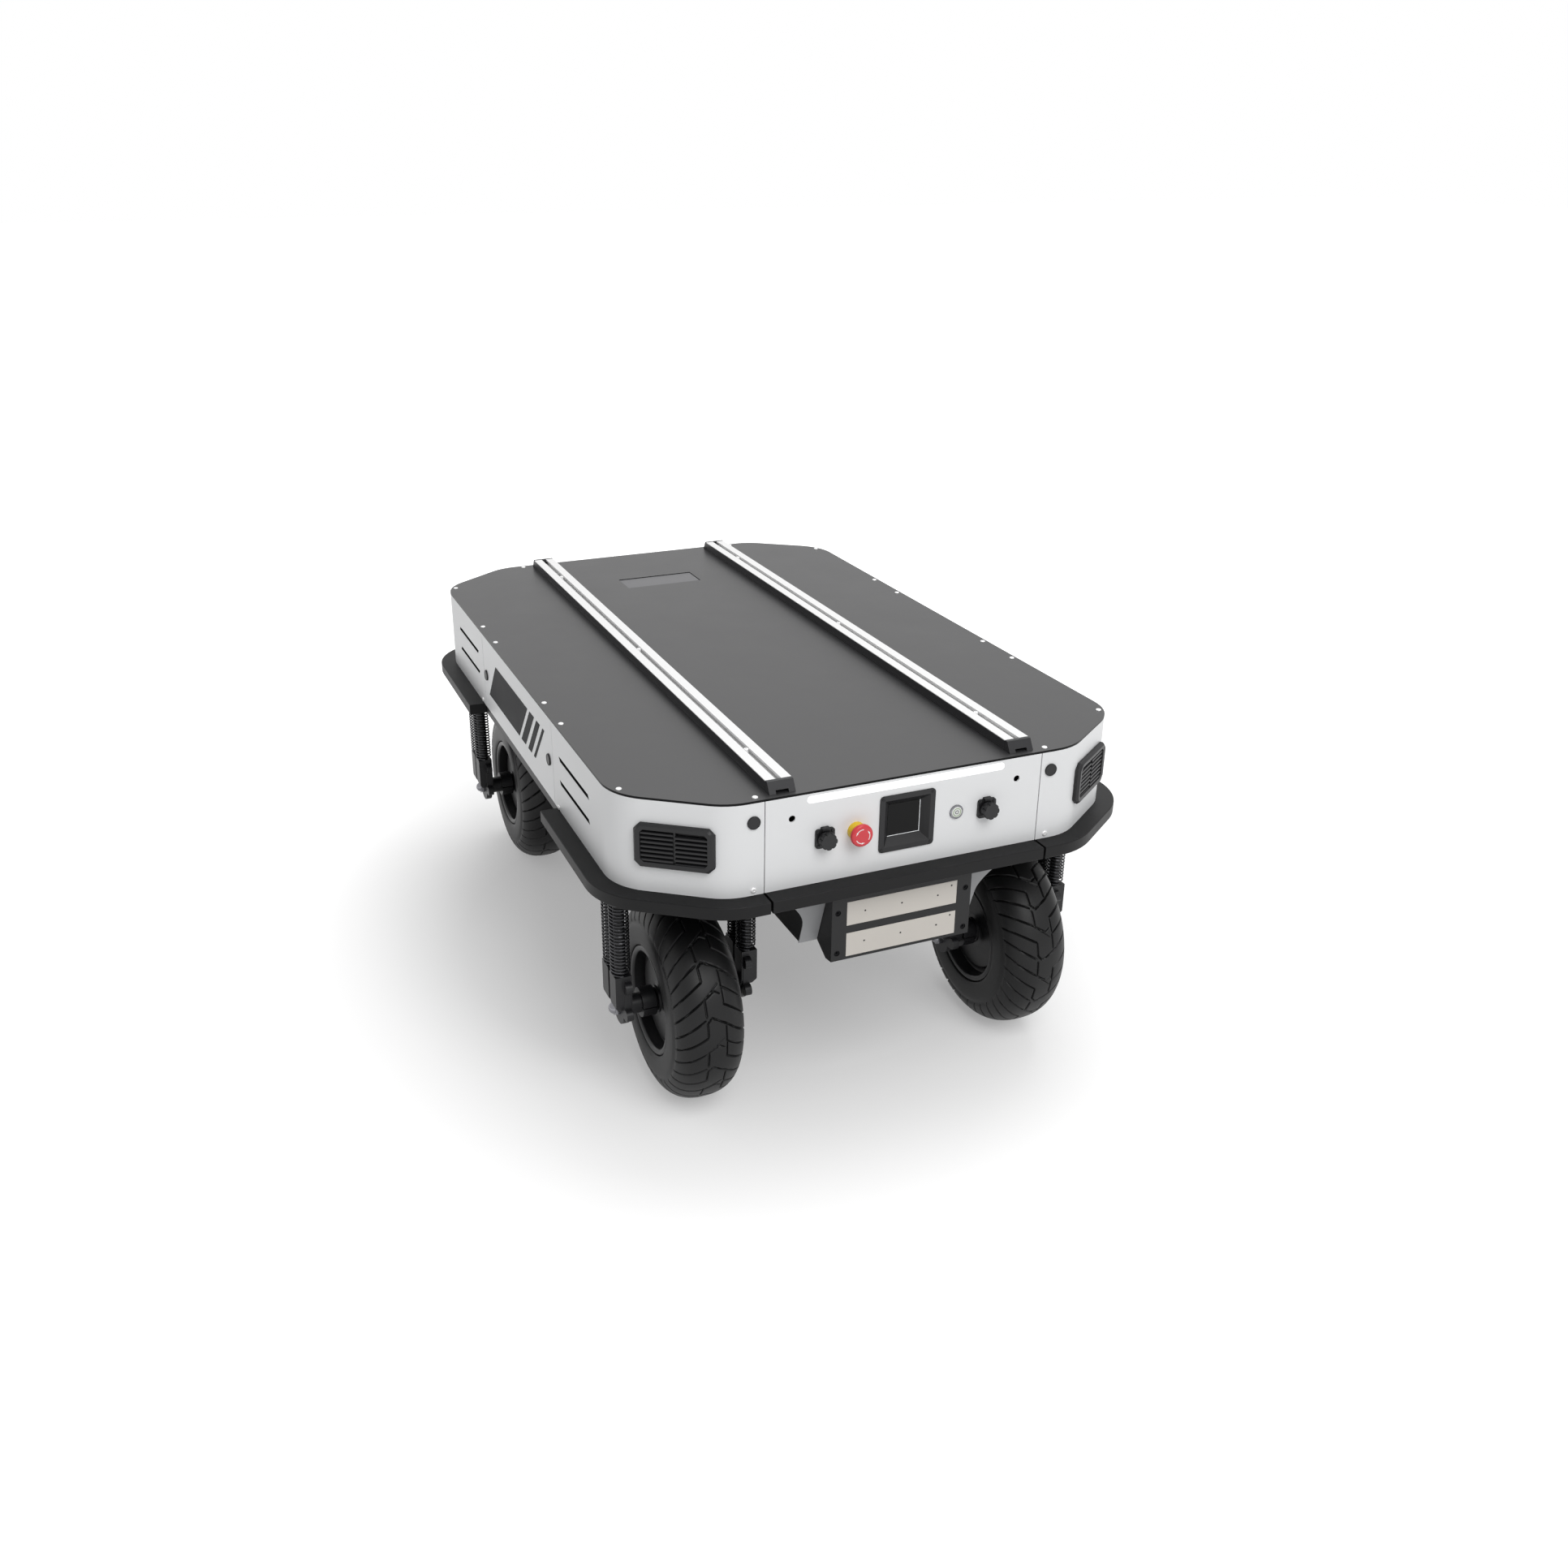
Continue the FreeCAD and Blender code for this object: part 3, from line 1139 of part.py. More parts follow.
def battery_fascias():
    half = FASCIA_HALF_WIDTH - FIT
    x_range = (BAY_FRONT_X - FASCIA_THICKNESS + FIT, BAY_FRONT_X)
    return group([box(x_range, (-half, half), (low + FIT, high - FIT)) for low, high in FASCIA_ROWS_Z])


def battery_packs():
    front = BAY_FRONT_X - FASCIA_THICKNESS
    packs = []
    for low, high in PACK_ROWS_Z:
        packs.append(box((PACK_BACK_X, front), (-PACK_HALF_WIDTH, PACK_HALF_WIDTH), (low, high)))
    return group(packs)


def underbody_tray():
    """The folded tray under the base plate, open at its sloped ends."""
    outer = [(TRAY_BOTTOM_X, TRAY_BOTTOM_Z), (TRAY_TOP_X, BASE_BOTTOM_Z)]
    inset = TRAY_WALL + FIT
    outline = [point(x - inset, -TRAY_HALF_WIDTH, z) for x, z in outer]
    outline += [point(-x + inset, -TRAY_HALF_WIDTH, z) for x, z in reversed(outer)]
    body = prism(outline, Y_AXIS * TRAY_HALF_WIDTH * 2)
    reach = TRAY_TOP_X * 2
    inner = TRAY_HALF_WIDTH - TRAY_WALL
    hollow = box((-reach, reach), (-inner, inner), (TRAY_BOTTOM_Z + TRAY_WALL, DECK_TOP_Z))
    return body.cut(hollow)


def apron_edge(share):
    """The half width of the end sheet at a share of its flare's height, as a quarter wave."""
    return APRON_HALF_WIDTH + APRON_FLARE * (1 - math.cos(share * math.pi / 2))


def end_sheet():
    """The sloped front sheet of the tray, flaring out at its top."""
    levels = [(TRAY_BOTTOM_Z, APRON_HALF_WIDTH)]
    for index in range(APRON_FLARE_STEPS + 1):
        share = index / APRON_FLARE_STEPS
        z = APRON_FLARE_START_Z + share * (APRON_FLARE_END_Z - APRON_FLARE_START_Z)
        levels.append((z, apron_edge(share)))
    levels.append((BASE_BOTTOM_Z, APRON_HALF_WIDTH + APRON_FLARE))
    outline = [point(TRAY_BOTTOM_X + TRAY_SLOPE * (z - TRAY_BOTTOM_Z), y, z) for z, y in levels]
    outline += [point(corner.x, -corner.y, corner.z) for corner in reversed(outline)]
    return prism(outline, X_AXIS * -TRAY_WALL)


def tray_end_sheets():
    """The front sheet in two halves beside the battery box, and the closed rear sheet."""
    front = end_sheet()
    bay = BAY_HALF_WIDTH + FIT
    reach = BODY_HALF_LENGTH
    zone = box((0, reach * 2), (bay, reach), (0, DECK_TOP_Z))
    left = front.common(zone)
    return group(left_and_right(left) + [mirrored(front, -1, 1)])


# --- Wheels -------------------------------------------------------------------------------

def tyre_section_points():
    """The outer half section, from bead to bead, as a rounded-square curve."""
    centre_radius = WHEEL_RADIUS - TYRE_SECTION_HEIGHT
    power = 2 / TYRE_SECTION_POWER
    points = []
    for index in range(TYRE_SECTION_STEPS + 1):
        angle = math.pi * index / TYRE_SECTION_STEPS
        across = math.copysign(abs(math.cos(angle)) ** power, math.cos(angle))
        rise = abs(math.sin(angle)) ** power
        points.append((TYRE_HALF_WIDTH * across, centre_radius + TYRE_SECTION_HEIGHT * rise))
    return points


def tyre(centre):
    """The tyre, a hollow casing with its two beads on the rim."""
    def place(y, radius):
        return centre + point(0, y, radius)
    outer = [place(y, radius) for y, radius in tyre_section_points()]
    crown = Part.BSplineCurve()
    crown.interpolate(outer)
    scale_y = (TYRE_HALF_WIDTH - TYRE_WALL) / TYRE_HALF_WIDTH
    hollow_centre = WHEEL_RADIUS - TYRE_SECTION_HEIGHT
    scale_r = (TYRE_SECTION_HEIGHT - TYRE_WALL) / TYRE_SECTION_HEIGHT
    inner = []
    for y, radius in reversed(tyre_section_points()):
        inner.append(place(y * scale_y, hollow_centre + (radius - hollow_centre) * scale_r))
    lining = Part.BSplineCurve()
    lining.interpolate(inner)
    bead_out = TYRE_BEAD_HALF_WIDTH
    lip_radius = RIM_LIP_RADIUS + TYRE_LIP_GAP
    bead = [
        (bead_out - TYRE_WALL, TYRE_BEAD_RADIUS),
        (bead_out, TYRE_BEAD_RADIUS),
        (bead_out, lip_radius),
        (bead_out + TYRE_FLANGE_WIDTH, lip_radius),
    ]
    left_side = [inner[-1]] + [place(y, radius) for y, radius in bead] + [outer[0]]
    right_side = [outer[-1]] + [place(-y, radius) for y, radius in reversed(bead)] + [inner[0]]
    edges = [crown.toShape()] + straight_edges(right_side)
    edges += [lining.toShape()] + straight_edges(left_side)
    return Part.Face(Part.Wire(edges)).revolve(centre, Y_AXIS, 360)


def straight_edges(points):
    return [Part.LineSegment(start, end).toShape() for start, end in zip(points, points[1:])]


def wheel_hub(centre):
    """The rim with the hub motor's rotor shell, bored for the fixed axle."""
    bore = AXLE_RADIUS + RUNNING_CLEARANCE
    lip_out = RIM_LIP_Y + RIM_LIP_THICKNESS
    ring_in = HUB_RING_RADIUS - HUB_RING_WIDTH
    drum = RIM_RADIUS - RIM_WALL
    half = [
        (bore, HUB_BOSS_Y),
        (HUB_BOSS_RADIUS, HUB_BOSS_Y),
        (HUB_BOSS_RADIUS, HUB_FACE_Y),
        (ring_in, HUB_FACE_Y),
        (ring_in, HUB_FACE_Y + HUB_RING_HEIGHT),
        (HUB_RING_RADIUS, HUB_FACE_Y + HUB_RING_HEIGHT),
        (HUB_RING_RADIUS, HUB_FACE_Y),
        (drum, HUB_FACE_Y),
        (drum, lip_out),
        (RIM_LIP_RADIUS, lip_out),
        (RIM_LIP_RADIUS, RIM_LIP_Y),
        (RIM_RADIUS, RIM_LIP_Y),
    ]
    cavity_y = HUB_FACE_Y - HUB_COVER_THICKNESS
    inside = [(STATOR_RADIUS + STATOR_GAP, cavity_y), (bore, cavity_y)]
    outline = [(radius, y) for radius, y in half]
    outline += [(radius, -y) for radius, y in reversed(half)]
    outline += [(radius, -y) for radius, y in reversed(inside)]
    outline += [(radius, y) for radius, y in inside]
    points = [centre + point(0, y, radius) for radius, y in outline]
    return revolved(points, centre, Y_AXIS)


def axle(centre):
    """The fixed axle with its stator, shoulders and acorn nuts."""
    shoulder_start = HUB_BOSS_Y + AXLE_SHOULDER_GAP
    shaft = rod(AXLE_RADIUS, centre - Y_AXIS * AXLE_HALF_LENGTH, Y_AXIS, AXLE_HALF_LENGTH * 2)
    stator = rod(STATOR_RADIUS, centre - Y_AXIS * STATOR_HALF_WIDTH, Y_AXIS, STATOR_HALF_WIDTH * 2)
    parts = [shaft, stator]
    for side in (1, -1):
        axis = Y_AXIS * side
        parts.append(rod(AXLE_SHOULDER_RADIUS, centre + axis * shoulder_start, axis,
                         CLAMP_START_Y - shoulder_start))
    pieces = [joined(parts)]
    for side in (1, -1):
        pieces.append(acorn_nut(centre, Y_AXIS * side))
    return group(pieces)


def acorn_nut(centre, axis):
    """The domed nut on one end of the axle, bored for the axle's end."""
    start = centre + axis * BRACKET_OUTER_Y
    body = hexagon(start, axis, NUT_ACROSS_FLATS, NUT_HEIGHT)
    ball = Part.makeSphere(NUT_DOME_RADIUS, start + axis * (NUT_LENGTH - NUT_DOME_RADIUS))
    dome = ball.common(rod(NUT_ACROSS_FLATS, start, axis, NUT_LENGTH * 2))
    bore_length = AXLE_HALF_LENGTH - BRACKET_OUTER_Y + FIT
    bore = rod(AXLE_RADIUS + RUNNING_CLEARANCE, start, axis, bore_length)
    return joined([body, dome]).cut(bore)


# --- Forks and suspension -----------------------------------------------------------------

def strut_places(centre):
    return [centre + point(dx, dy) for dx in (-STRUT_DX, STRUT_DX) for dy in (-STRUT_DY, STRUT_DY)]


def fork(centre):
    """The crown plate, the steering shaft on it, and the four guide rods under it."""
    corners = [
        centre + point(CROWN_HALF_LENGTH, CROWN_HALF_WIDTH, CROWN_BOTTOM_Z),
        centre + point(-CROWN_HALF_LENGTH, CROWN_HALF_WIDTH, CROWN_BOTTOM_Z),
        centre + point(-CROWN_HALF_LENGTH, -CROWN_HALF_WIDTH, CROWN_BOTTOM_Z),
        centre + point(CROWN_HALF_LENGTH, -CROWN_HALF_WIDTH, CROWN_BOTTOM_Z),
    ]
    crown = Part.Face(rounded_outline(corners, CROWN_CORNER)).extrude(Z_AXIS * CROWN_THICKNESS)
    shaft_length = STEER_SHAFT_TOP_Z - CROWN_TOP_Z
    shaft = rod(STEER_SHAFT_RADIUS, centre + Z_AXIS * CROWN_TOP_Z, Z_AXIS, shaft_length)
    rods = []
    for place in strut_places(centre):
        rod_start = place + Z_AXIS * ROD_BOTTOM_Z
        rods.append(rod(ROD_RADIUS, rod_start, Z_AXIS, CROWN_BOTTOM_Z - ROD_BOTTOM_Z))
    return group([crown, shaft] + rods)


def springs(centre):
    """The four coil springs, each as the tube that its coils fill."""
    pieces = []
    length = CROWN_BOTTOM_Z - LEG_TOP_Z
    for place in strut_places(centre):
        start = place + Z_AXIS * LEG_TOP_Z
        coil = rod(SPRING_RADIUS, start, Z_AXIS, length)
        pieces.append(coil.cut(rod(SPRING_RADIUS - SPRING_WIRE, start, Z_AXIS, length)))
    return group(pieces)


def leg_block(place, side):
    """One strut leg, bored for its guide rod, with its lower end cut in on three sides."""
    half_x = LEG_HALF_LENGTH
    front = [
        point(-half_x, 0, LEG_TOP_Z),
        point(-half_x, 0, LEG_BOTTOM_Z + LEG_CHAMFER_HEIGHT),
        point(-half_x + LEG_CHAMFER_WIDTH, 0, LEG_BOTTOM_Z),
        point(half_x - LEG_CHAMFER_WIDTH, 0, LEG_BOTTOM_Z),
        point(half_x, 0, LEG_BOTTOM_Z + LEG_CHAMFER_HEIGHT),
        point(half_x, 0, LEG_TOP_Z),
    ]
    outline = [place + corner - Y_AXIS * LEG_HALF_WIDTH for corner in front]
    block = prism(outline, Y_AXIS * LEG_HALF_WIDTH * 2)
    outer_y = side * LEG_HALF_WIDTH
    taper = [
        point(-half_x, outer_y, LEG_BOTTOM_Z + LEG_TAPER_HEIGHT),
        point(-half_x, outer_y, LEG_BOTTOM_Z),
        point(-half_x, outer_y - side * LEG_TAPER_WIDTH, LEG_BOTTOM_Z),
    ]
    wedge = prism([place + corner for corner in taper], X_AXIS * half_x * 2)
    bore_start = place + Z_AXIS * (LEG_BOTTOM_Z + LEG_BORE_FLOOR)
    bore = rod(ROD_RADIUS + RUNNING_CLEARANCE, bore_start, Z_AXIS, LEG_TOP_Z - LEG_BOTTOM_Z)
    return block, [wedge, bore]


def axle_bracket(centre, side):
    """The four-lobed plate that joins two legs."""
    axis = Y_AXIS * side
    start = centre + axis * BRACKET_INNER_Y
    axle_height = Z_AXIS * WHEEL_RADIUS
    low_z, high_z = LOBES_Z
    right_half = [
        point(LOBE_X, 0, low_z - LOBE_RADIUS),
        point(BRACKET_WAIST_X, 0, low_z),
        point(BRACKET_WAIST_X, 0, high_z),
        point(LOBE_X, 0, high_z + LOBE_RADIUS),
    ]
    outline = right_half + [point(-corner.x, 0, corner.z) for corner in reversed(right_half)]
    solids = [prism([start + corner for corner in outline], axis * BRACKET_THICKNESS)]
    for x in (-LOBE_X, LOBE_X):
        for z in LOBES_Z:
            solids.append(rod(LOBE_RADIUS, start + point(x, 0, z), axis, BRACKET_THICKNESS))
    solids.append(rod(BRACKET_BOSS_RADIUS, start + axle_height, axis, BRACKET_THICKNESS))
    return joined(solids)


def axle_clamp(centre, side):
    """The split clamp on the bracket's inner face, which holds the axle."""
    axis = Y_AXIS * side
    length = CLAMP_END_Y - CLAMP_START_Y
    axle_height = Z_AXIS * WHEEL_RADIUS
    start = centre + axis * CLAMP_START_Y + axle_height
    neck_start = centre + axis * CLAMP_END_Y + axle_height
    ring = rod(CLAMP_RADIUS, start, axis, length)
    neck = rod(CLAMP_NECK_RADIUS, neck_start, axis, BRACKET_INNER_Y - CLAMP_END_Y)
    half_slit = CLAMP_SLIT / 2
    slit = prism([
        start + point(-CLAMP_RADIUS, 0, -half_slit),
        start + point(CLAMP_RADIUS, 0, -half_slit),
        start + point(CLAMP_RADIUS, 0, half_slit),
        start + point(-CLAMP_RADIUS, 0, half_slit),
    ], axis * length)
    return joined([ring, neck]).cut([axle_bore(centre, side), slit])


def axle_bore(centre, side):
    """The axle's hole through one side's clamp and bracket."""
    start = centre + Y_AXIS * side * CLAMP_START_Y + Z_AXIS * WHEEL_RADIUS
    return rod(AXLE_RADIUS + RUNNING_CLEARANCE, start, Y_AXIS * side, BRACKET_OUTER_Y - CLAMP_START_Y)


def lower_legs(centre):
    """On each side of the wheel, two legs and their axle bracket as one casting, and its clamp."""
    pieces = []
    for side in (1, -1):
        solids = [axle_bracket(centre, side)]
        cuts = [axle_bore(centre, side)]
        for dx in (-STRUT_DX, STRUT_DX):
            block, leg_cuts = leg_block(centre + point(dx, side * STRUT_DY, 0), side)
            solids.append(block)
            cuts += leg_cuts
        pieces.append(joined(solids).cut(cuts))
        pieces.append(axle_clamp(centre, side))
    return group(pieces)


def steering_bearing(centre):
    """The flanged bearing that holds the steering shaft in the base plate."""
    bore = STEER_SHAFT_RADIUS + STEER_CLEARANCE
    sleeve = rod(BEARING_RADIUS, centre + Z_AXIS * BASE_BOTTOM_Z, Z_AXIS, BASE_PLATE_THICKNESS)
    flange_z = BASE_BOTTOM_Z - BEARING_FLANGE_HEIGHT
    flange = rod(BEARING_FLANGE_RADIUS, centre + Z_AXIS * flange_z, Z_AXIS, BEARING_FLANGE_HEIGHT)
    hole = rod(bore, centre + Z_AXIS * flange_z, Z_AXIS, BASE_TOP_Z - flange_z)
    return joined([sleeve, flange]).cut(hole)


def steering_gearbox(centre):
    """The gearbox on the base plate with its motor on top, bored for the steering shaft."""
    half = GEARBOX_FLANGE / 2
    x_range = (centre.x - half, centre.x + half)
    y_range = (centre.y - half, centre.y + half)
    foot = box(x_range, y_range, (BASE_TOP_Z, BASE_TOP_Z + GEARBOX_FLANGE_THICKNESS))
    case = rod(GEARBOX_RADIUS, centre + Z_AXIS * BASE_TOP_Z, Z_AXIS, GEARBOX_TOP_Z - BASE_TOP_Z)
    motor_height = GEAR_MOTOR_TOP_Z - GEARBOX_TOP_Z
    motor = rod(GEAR_MOTOR_RADIUS, centre + Z_AXIS * GEARBOX_TOP_Z, Z_AXIS, motor_height)
    bore = rod(STEER_SHAFT_RADIUS + STEER_CLEARANCE, centre + Z_AXIS * BASE_TOP_Z, Z_AXIS,
               STEER_SHAFT_TOP_Z + FRAME_WALL - BASE_TOP_Z)
    return joined([foot, case, motor]).cut(bore)


# --- Electronics --------------------------------------------------------------------------

def finned_box(middle_x, middle_y, length, width, height, fin_count):
    """An electronics box on the base plate with cooling fins along its top."""
    x_range = (middle_x - length / 2, middle_x + length / 2)
    y_range = (middle_y - width / 2, middle_y + width / 2)
    case_top = BASE_TOP_Z + height - FIN_HEIGHT
    solids = [box(x_range, y_range, (BASE_TOP_Z, case_top))]
    pitch = (width - FIN_THICKNESS) / (fin_count - 1)
    for index in range(fin_count):
        y = y_range[0] + index * pitch
        solids.append(box(x_range, (y, y + FIN_THICKNESS), (case_top, case_top + FIN_HEIGHT)))
    return joined(solids)


def electronics_housings():
    """The control unit in the middle and the four wheel drives round it."""
    control = finned_box(CONTROL_X, 0, CONTROL_LENGTH, CONTROL_WIDTH, CONTROL_HEIGHT, CONTROL_FIN_COUNT)
    drive = finned_box(DRIVE_X, DRIVE_Y, DRIVE_LENGTH, DRIVE_WIDTH, DRIVE_HEIGHT, DRIVE_FIN_COUNT)
    return group([control] + in_all_corners(drive))


# --- Assembly -----------------------------------------------------------------------------

def root_parts():
    ring = bumper_ring()
    columns = [point(x_sign * WHEEL_X, y_sign * WHEEL_Y, 0) for x_sign, y_sign in CORNERS.values()]
    return {
        "base_plate": base_plate(),
        "frame_skirt": frame_skirt(),
        "top_frame": top_frame(),
        "deck_beams": deck_beams(),
        "frame_posts": frame_posts(),
        "deck_plate": deck_plate(),
        "deck_window": deck_window(),
        "screws_and_bolts": screws(),
        "payload_rails": group(left_and_right(payload_rail())),
        "rail_bases": group(left_and_right(rail_base()) + in_all_corners(rail_end_cap())),
        "end_panels": end_panels(),
        "side_panels": group(left_and_right(side_panel())),
        "corner_covers": group(in_all_corners(corner_cover())),
        "end_bumpers": group(front_and_rear(end_bumper(ring))),
        "corner_bumpers": group(in_all_corners(corner_bumper(ring))),
        "corner_grilles": group(in_all_corners(corner_grille())),
        "ultrasonic_sensors": ultrasonic_sensors(),
        "light_strips": light_strips(),
        "display_bezel": display_bezel(),
        "display_screen": screen_block(0),
        "estop_collar": estop_collar(),
        "power_button_bezel": power_button_bezel(),
        "charge_ports": group([charge_port(y) for y in (PORT_Y, -PORT_Y)]),
        "battery_box": battery_box(),
        "battery_fascias": battery_fascias(),
        "battery_packs": battery_packs(),
        "underbody_tray": underbody_tray(),
        "tray_end_sheets": tray_end_sheets(),
        "electronics_housings": electronics_housings(),
        "steering_gearboxes": group([steering_gearbox(place) for place in columns]),
        "steering_bearings": group([steering_bearing(place) for place in columns]),
    }


def control_parts():
    return {
        "estop_stem": estop_stem(),
        "estop_head": estop_head(),
        "power_button_cap": power_button_cap(),
        "port_cap_left": port_cap(PORT_Y),
        "port_cap_right": port_cap(-PORT_Y),
    }


def wheel_parts(corner):
    x_sign, y_sign = CORNERS[corner]
    column = point(x_sign * WHEEL_X, y_sign * WHEEL_Y, 0)
    wheel_centre = column + Z_AXIS * WHEEL_RADIUS
    return {
        "fork_" + corner: fork(column),
        "springs_" + corner: springs(column),
        "lower_legs_" + corner: lower_legs(column),
        "axle_" + corner: axle(wheel_centre),
        "wheel_hub_" + corner: wheel_hub(wheel_centre),
        "tyre_" + corner: tyre(wheel_centre),
    }


def main():
    os.makedirs("parts", exist_ok=True)
    parts = root_parts()
    parts.update(control_parts())
    for corner in CORNERS:
        parts.update(wheel_parts(corner))
    for name, shape in parts.items():
        shape.exportStep("parts/" + name + ".step")
        state = "valid" if shape.isValid() else "NOT VALID"
        print(name, len(shape.Solids), "solids,", round(shape.Volume / 1000), "cm3,", state)


main()
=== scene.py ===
# %% [markdown]
# # Four wheel robot chassis
# The imported model is the frame: every body, joint and size comes from it. This cell loads it. Each CAD
# node is kept, or a finer piece is made in its place. Lengths are in metres, +X is forwards, +Y is left and
# +Z is up.

# %% Load the frame
import math

import bmesh
import bpy
import numpy as np
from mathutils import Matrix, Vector


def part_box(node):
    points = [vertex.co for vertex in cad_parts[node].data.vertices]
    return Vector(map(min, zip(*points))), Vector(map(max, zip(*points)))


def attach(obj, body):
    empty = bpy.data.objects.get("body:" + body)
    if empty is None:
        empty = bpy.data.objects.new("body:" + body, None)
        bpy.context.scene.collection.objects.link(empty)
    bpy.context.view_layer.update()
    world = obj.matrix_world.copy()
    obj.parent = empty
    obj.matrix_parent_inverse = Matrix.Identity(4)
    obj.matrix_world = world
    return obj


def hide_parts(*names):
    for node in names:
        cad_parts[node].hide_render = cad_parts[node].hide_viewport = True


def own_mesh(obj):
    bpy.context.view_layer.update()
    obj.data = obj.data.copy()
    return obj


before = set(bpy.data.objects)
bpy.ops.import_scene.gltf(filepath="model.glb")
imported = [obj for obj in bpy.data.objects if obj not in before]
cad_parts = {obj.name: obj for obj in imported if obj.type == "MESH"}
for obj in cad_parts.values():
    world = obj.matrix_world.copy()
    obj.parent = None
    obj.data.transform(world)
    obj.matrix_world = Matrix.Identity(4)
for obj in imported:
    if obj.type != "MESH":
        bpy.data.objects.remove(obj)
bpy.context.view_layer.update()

scene = bpy.context.scene
MM = 0.001
CORNERS = {"front_left": (1, 1), "front_right": (1, -1), "rear_left": (-1, 1), "rear_right": (-1, -1)}

# %% [markdown]
# ## Camera
# The view looks down on the front right corner from about the height of a person's eyes, with a slightly
# wide lens. A small lens shift places the robot in the frame.

# %% Camera
CAMERA_PLACE = (2.6208, -1.0827, 1.6077)
CAMERA_AZIMUTH = math.radians(67.72)
CAMERA_ELEVATION = math.radians(23.484)
camera_data = bpy.data.cameras.new("camera")
camera_data.lens = 33.40
camera_data.sensor_width = 36.0
camera_data.shift_x = 0.03106
camera_data.shift_y = -0.01268
camera = bpy.data.objects.new("camera", camera_data)
camera.location = CAMERA_PLACE
camera.rotation_euler = (math.pi / 2 - CAMERA_ELEVATION, 0, CAMERA_AZIMUTH)
scene.collection.objects.link(camera)
scene.camera = camera
print("lens", camera_data.lens, "mm")

# %% [markdown]
# ## Node trees
# Materials and Geometry Nodes are both trees of nodes. Two short helpers add a node with its settings and
# join two sockets, so that each tree below reads as a list of steps.

# %% Helpers for node trees
def add_node(tree, kind, inputs=None, **settings):
    """Adds a node, sets its own settings and the values of its inputs, and returns it."""
    node = tree.nodes.new(kind)
    for key, value in settings.items():
        setattr(node, key, value)
    for key, value in (inputs or {}).items():
        node.inputs[key].default_value = value
    return node


def join(tree, source, output, target, entry):
    """Links an output of one node to an input of another, each by its name or number."""
    tree.links.new(source.outputs[output], target.inputs[entry])


def tone(red, green, blue):
    """The linear colour of a display colour from 0 to 255."""
    return tuple(((value / 255 + 0.055) / 1.055) ** 2.4 for value in (red, green, blue)) + (1.0,)


# %% [markdown]
# ## Finishes
# Nearly every surface here is paint, moulded plastic, rubber or bare metal. All of them are the same
# idea: a colour that drifts a little, a roughness that drifts a little, and a fine grain that tilts the
# light. One maker takes those as values, and each finish below is a call with the values of the real
# material. The patterns read Object coordinates, so they stay in place when a joint moves.

# %% The maker of a finish
CLOUDS = {"Scale": 9.0, "Detail": 4.0, "Roughness": 0.6}
GRAIN_DETAIL = 2.0
GRAIN_STRENGTH = 0.6
POLISH_DRIFT = 0.1


def finish(name, colour, roughness, grain_size, grain_height, drift=0.06, stretch=(1, 1, 1), **shader):
    """A material with slow drift in colour and roughness and a fine bump, sizes in metres."""
    material = bpy.data.materials.new(name)
    material.use_nodes = True
    tree = material.node_tree
    surface = tree.nodes["Principled BSDF"]
    for socket, value in shader.items():
        surface.inputs[socket.replace("_", " ")].default_value = value
    place = add_node(tree, "ShaderNodeTexCoord")
    mapping = add_node(tree, "ShaderNodeMapping", {"Scale": stretch})
    join(tree, place, "Object", mapping, "Vector")
    clouds = add_node(tree, "ShaderNodeTexNoise", CLOUDS)
    grain = add_node(tree, "ShaderNodeTexNoise", {"Scale": 1 / grain_size, "Detail": GRAIN_DETAIL})
    for noise in (clouds, grain):
        join(tree, mapping, "Vector", noise, "Vector")
    shade = add_node(tree, "ShaderNodeMix", data_type="RGBA")
    for end, share in (("A", 1 - drift), ("B", 1 + drift)):
        shade.inputs[end].default_value = tuple(min(1.0, c * share) for c in colour[:3]) + (1.0,)
    join(tree, clouds, "Fac", shade, "Factor")
    join(tree, shade, "Result", surface, "Base Color")
    low, high = roughness * (1 - POLISH_DRIFT), roughness * (1 + POLISH_DRIFT)
    polish = add_node(tree, "ShaderNodeMapRange", {"To Min": low, "To Max": high})
    join(tree, clouds, "Fac", polish, "Value")
    join(tree, polish, "Result", surface, "Roughness")
    bump = add_node(tree, "ShaderNodeBump", {"Strength": GRAIN_STRENGTH, "Distance": grain_height})
    join(tree, grain, "Fac", bump, "Height")
    join(tree, bump, "Normal", surface, "Normal")
    return material


# %% [markdown]
# The body's paints. The covers are white powder coat, whose orange-peel texture is about a millimetre
# wide; the deck, frame and tray are the same kind of paint in other colours, a little duller.

# %% Paints
cover_white = finish("cover_white", tone(232, 233, 234), 0.42, 0.0011, 0.00004, drift=0.015)
deck_grey = finish("deck_grey", tone(42, 42, 43), 0.36, 0.0009, 0.00004, drift=0.04)
frame_black = finish("frame_black", tone(26, 26, 27), 0.5, 0.0009, 0.00005, Specular_IOR_Level=0.3)
tray_grey = finish("tray_grey", tone(158, 159, 161), 0.45, 0.0011, 0.00004, drift=0.03)
strut_black = finish("strut_black", tone(26, 26, 28), 0.42, 0.0012, 0.00005, Specular_IOR_Level=0.35)
hub_black = finish("hub_black", tone(24, 24, 26), 0.36, 0.0016, 0.00004, Specular_IOR_Level=0.35)
spring_black = finish("spring_black", tone(64, 64, 67), 0.2, 0.0015, 0.00001, Metallic=0.6)
